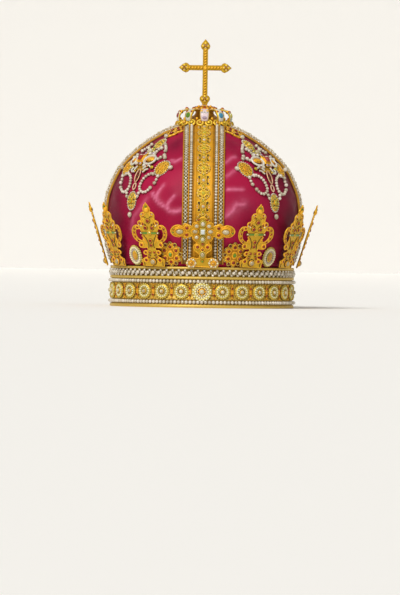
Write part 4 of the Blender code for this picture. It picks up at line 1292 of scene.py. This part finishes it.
def finialPiece():
    form = finialForm
    piece = Piece()
    dish = turned(form["section"], 40, relief=0.55)
    # the dish's top, under the petals, is painted darker, a painted shade
    dish.relief[dish.points[:, 2] > 201.6] = 0.3
    piece.add("gold", dish)
    # scallops that hang from the rim onto the dome
    places = []
    for i in range(form["scallops"]):
        out, side = directions(360 * (i + 0.5) / form["scallops"])
        normal = out * math.cos(math.radians(34)) + Vector((0, 0, math.sin(math.radians(34))))
        places.append(frameAt(out * 30.0 + Vector((0, 0, 199.0)), side, normal.cross(side), normal))
    for finish, shape, spots, lift, size, tall in (
        ("gold", disc, places, -1.2, 4.6, 1.6), ("yellowGold", ring, places, 0, 4.2, 2.0),
        ("yellowGold", cabochon, places[::2], 0, 2.6, 1.8), ("amber", cabochon, places[1::2], 0, 2.4, 1.8),
    ):
        piece.add(finish, shape, [place @ at(0, 0, lift, size, tall) for place in spots])
    petal, inlay = petalShape(1.0, 0.0, form["thick"]), petalShape(0.72, form["thick"] * 0.6, 0.9)
    for i in range(form["petals"]):
        petalPart(piece, i, petal, inlay)
    for count, reach, height, size, finish in form["balls"]:
        piece.add(finish, bead, spotsRound(count, reach, height, size, 0.5))
    piece.make("finialCrown", "finial")


finialPiece()
print("finial made")

crossForm = {
    "depth": 4.5, "middle": 258.7,
    "half": (
        (2.4, 218.3), (3.6, 221.2), (5.6, 224.0), (5.6, 226.2), (4.4, 228.0), (2.8, 229.0), (2.8, 255.9),
        (17.2, 255.9), (18.4, 254.3), (21.0, 253.3), (24.2, 254.8), (28.6, 258.7), (24.2, 262.6), (21.0, 264.1),
        (18.4, 263.1), (17.2, 261.5), (2.8, 261.5), (2.8, 278.2), (4.4, 279.4), (5.2, 282.2), (3.8, 285.2),
        (0.0, 289.7),
    ),
    "buds": [(0.0, 282.2), (0.0, 225.0), (22.6, 258.7), (-22.6, 258.7)],
}


def crossPiece():
    form, depth, middle = crossForm, crossForm["depth"], crossForm["middle"]
    outline = [*form["half"], *((-x, y) for x, y in reversed(form["half"][:-1]))]
    parts = Piece()
    parts.put("yellowGold", plated([outline], depth, 0.46, edge=0.6), origin, -depth / 2)
    # a twisted line along each arm, front and back, of bright seeds with dark seeds of painted shade under them
    twist = [(x, y, 40) for x, y in alongPath([(0, 230.8), (0, 278.0)], 3.0)]
    for path in ([(-17.2, middle), (-4.0, middle)], [(4.0, middle), (17.2, middle)]):
        twist += [(x, y, 50) for x, y in alongPath(path, 3.2)]
    for face in (1, -1):
        level = face * depth / 2
        parts.add("paintedShade", seed, [(x, y, level, 1.1, 0.6, 2.0, turn) for x, y, turn in twist])
        parts.add("brightGold", seed, [(x, y, level + face * 0.4, 1.0, 1.2, 1.9, turn) for x, y, turn in twist])
        for bud in form["buds"]:
            parts.put("yellowGold", seed, shifted([bud], around(4, 2.7)), level, 1.9, 1.5)
            # dark beads of painted shade between the lobes of each bud, and pink-gold beads as painted highlights
            parts.put("paintedShade", bead, shifted([bud], around(4, 2.6, 45)), level + face * 0.2, 0.9)
            parts.put("pinkGold", bead, shifted([bud], around(3, 2.0, 30)), level + face * 1.2, 0.8)
            parts.put("amber", bead, [bud], level + face * 1.0, 0.9, 0.9)
        parts.put("brightGold", seed, [(0, middle)], level, 2.2, 1.6)
    parts.copyTo(Matrix.Rotation(math.pi / 2, 4, "X"), "finialCross", "cross", "gold")


crossPiece()
print("cross made")

# floor, light and camera, in metres

studio = {
    "lens": 400.0, "distance": 7.15, "aim": (-0.0019, 0.0, 0.0103), "height": 0.075, "roll": 0.88,
    "world": 0.36,
    # place, strength and spread of each sun
    "suns": {"key": ((-0.9, -1.9, 1.9), 2.55, 24.0), "fill": ((1.6, -1.6, 0.9), 0.20, 50.0)},
}


def makeStudio():
    scene = bpy.context.scene
    for name, finish in (("studioFloor", "floorPaper"), ("studioBack", "wallPaper")):
        clearPick()
        bpy.ops.mesh.primitive_plane_add(size=16.0)
        paper = bpy.context.object
        paper.name = paper.data.name = name
        if name == "studioBack":
            for vertex in paper.data.vertices:
                vertex.co = (vertex.co.x, 7.9, 3.9 + vertex.co.y / 2)
        paper.data.materials.append(finishes[finish])
    world = bpy.data.worlds.new("studioLight")
    world.use_nodes = True
    world.node_tree.nodes["Background"].inputs["Color"].default_value = (0.96, 0.95, 0.92, 1.0)
    world.node_tree.nodes["Background"].inputs["Strength"].default_value = studio["world"]
    scene.world = world
    for name, (place, strength, spread) in studio["suns"].items():
        light = bpy.data.lights.new(name, "SUN")
        light.energy, light.angle = strength, math.radians(spread)
        lamp = bpy.data.objects.new(name, light)
        scene.collection.objects.link(lamp)
        lamp.location = place
        lamp.rotation_euler = (-Vector(place)).to_track_quat("-Z", "Y").to_euler()
    camera = bpy.data.cameras.new("camera")
    camera.lens, camera.clip_end = studio["lens"], 40.0
    camera.sensor_fit, camera.sensor_height = "VERTICAL", 36.0
    eye = bpy.data.objects.new("camera", camera)
    scene.collection.objects.link(eye)
    aim = Vector(studio["aim"])
    eye.location = Vector((aim.x, -studio["distance"], studio["height"]))
    look = (aim - eye.location).to_track_quat("-Z", "Y").to_matrix().to_4x4()
    eye.rotation_euler = (look @ Matrix.Rotation(math.radians(studio["roll"]), 4, "Z")).to_euler()
    scene.camera = eye
    scene.view_settings.view_transform = "Standard"


makeStudio()
print("studio made")
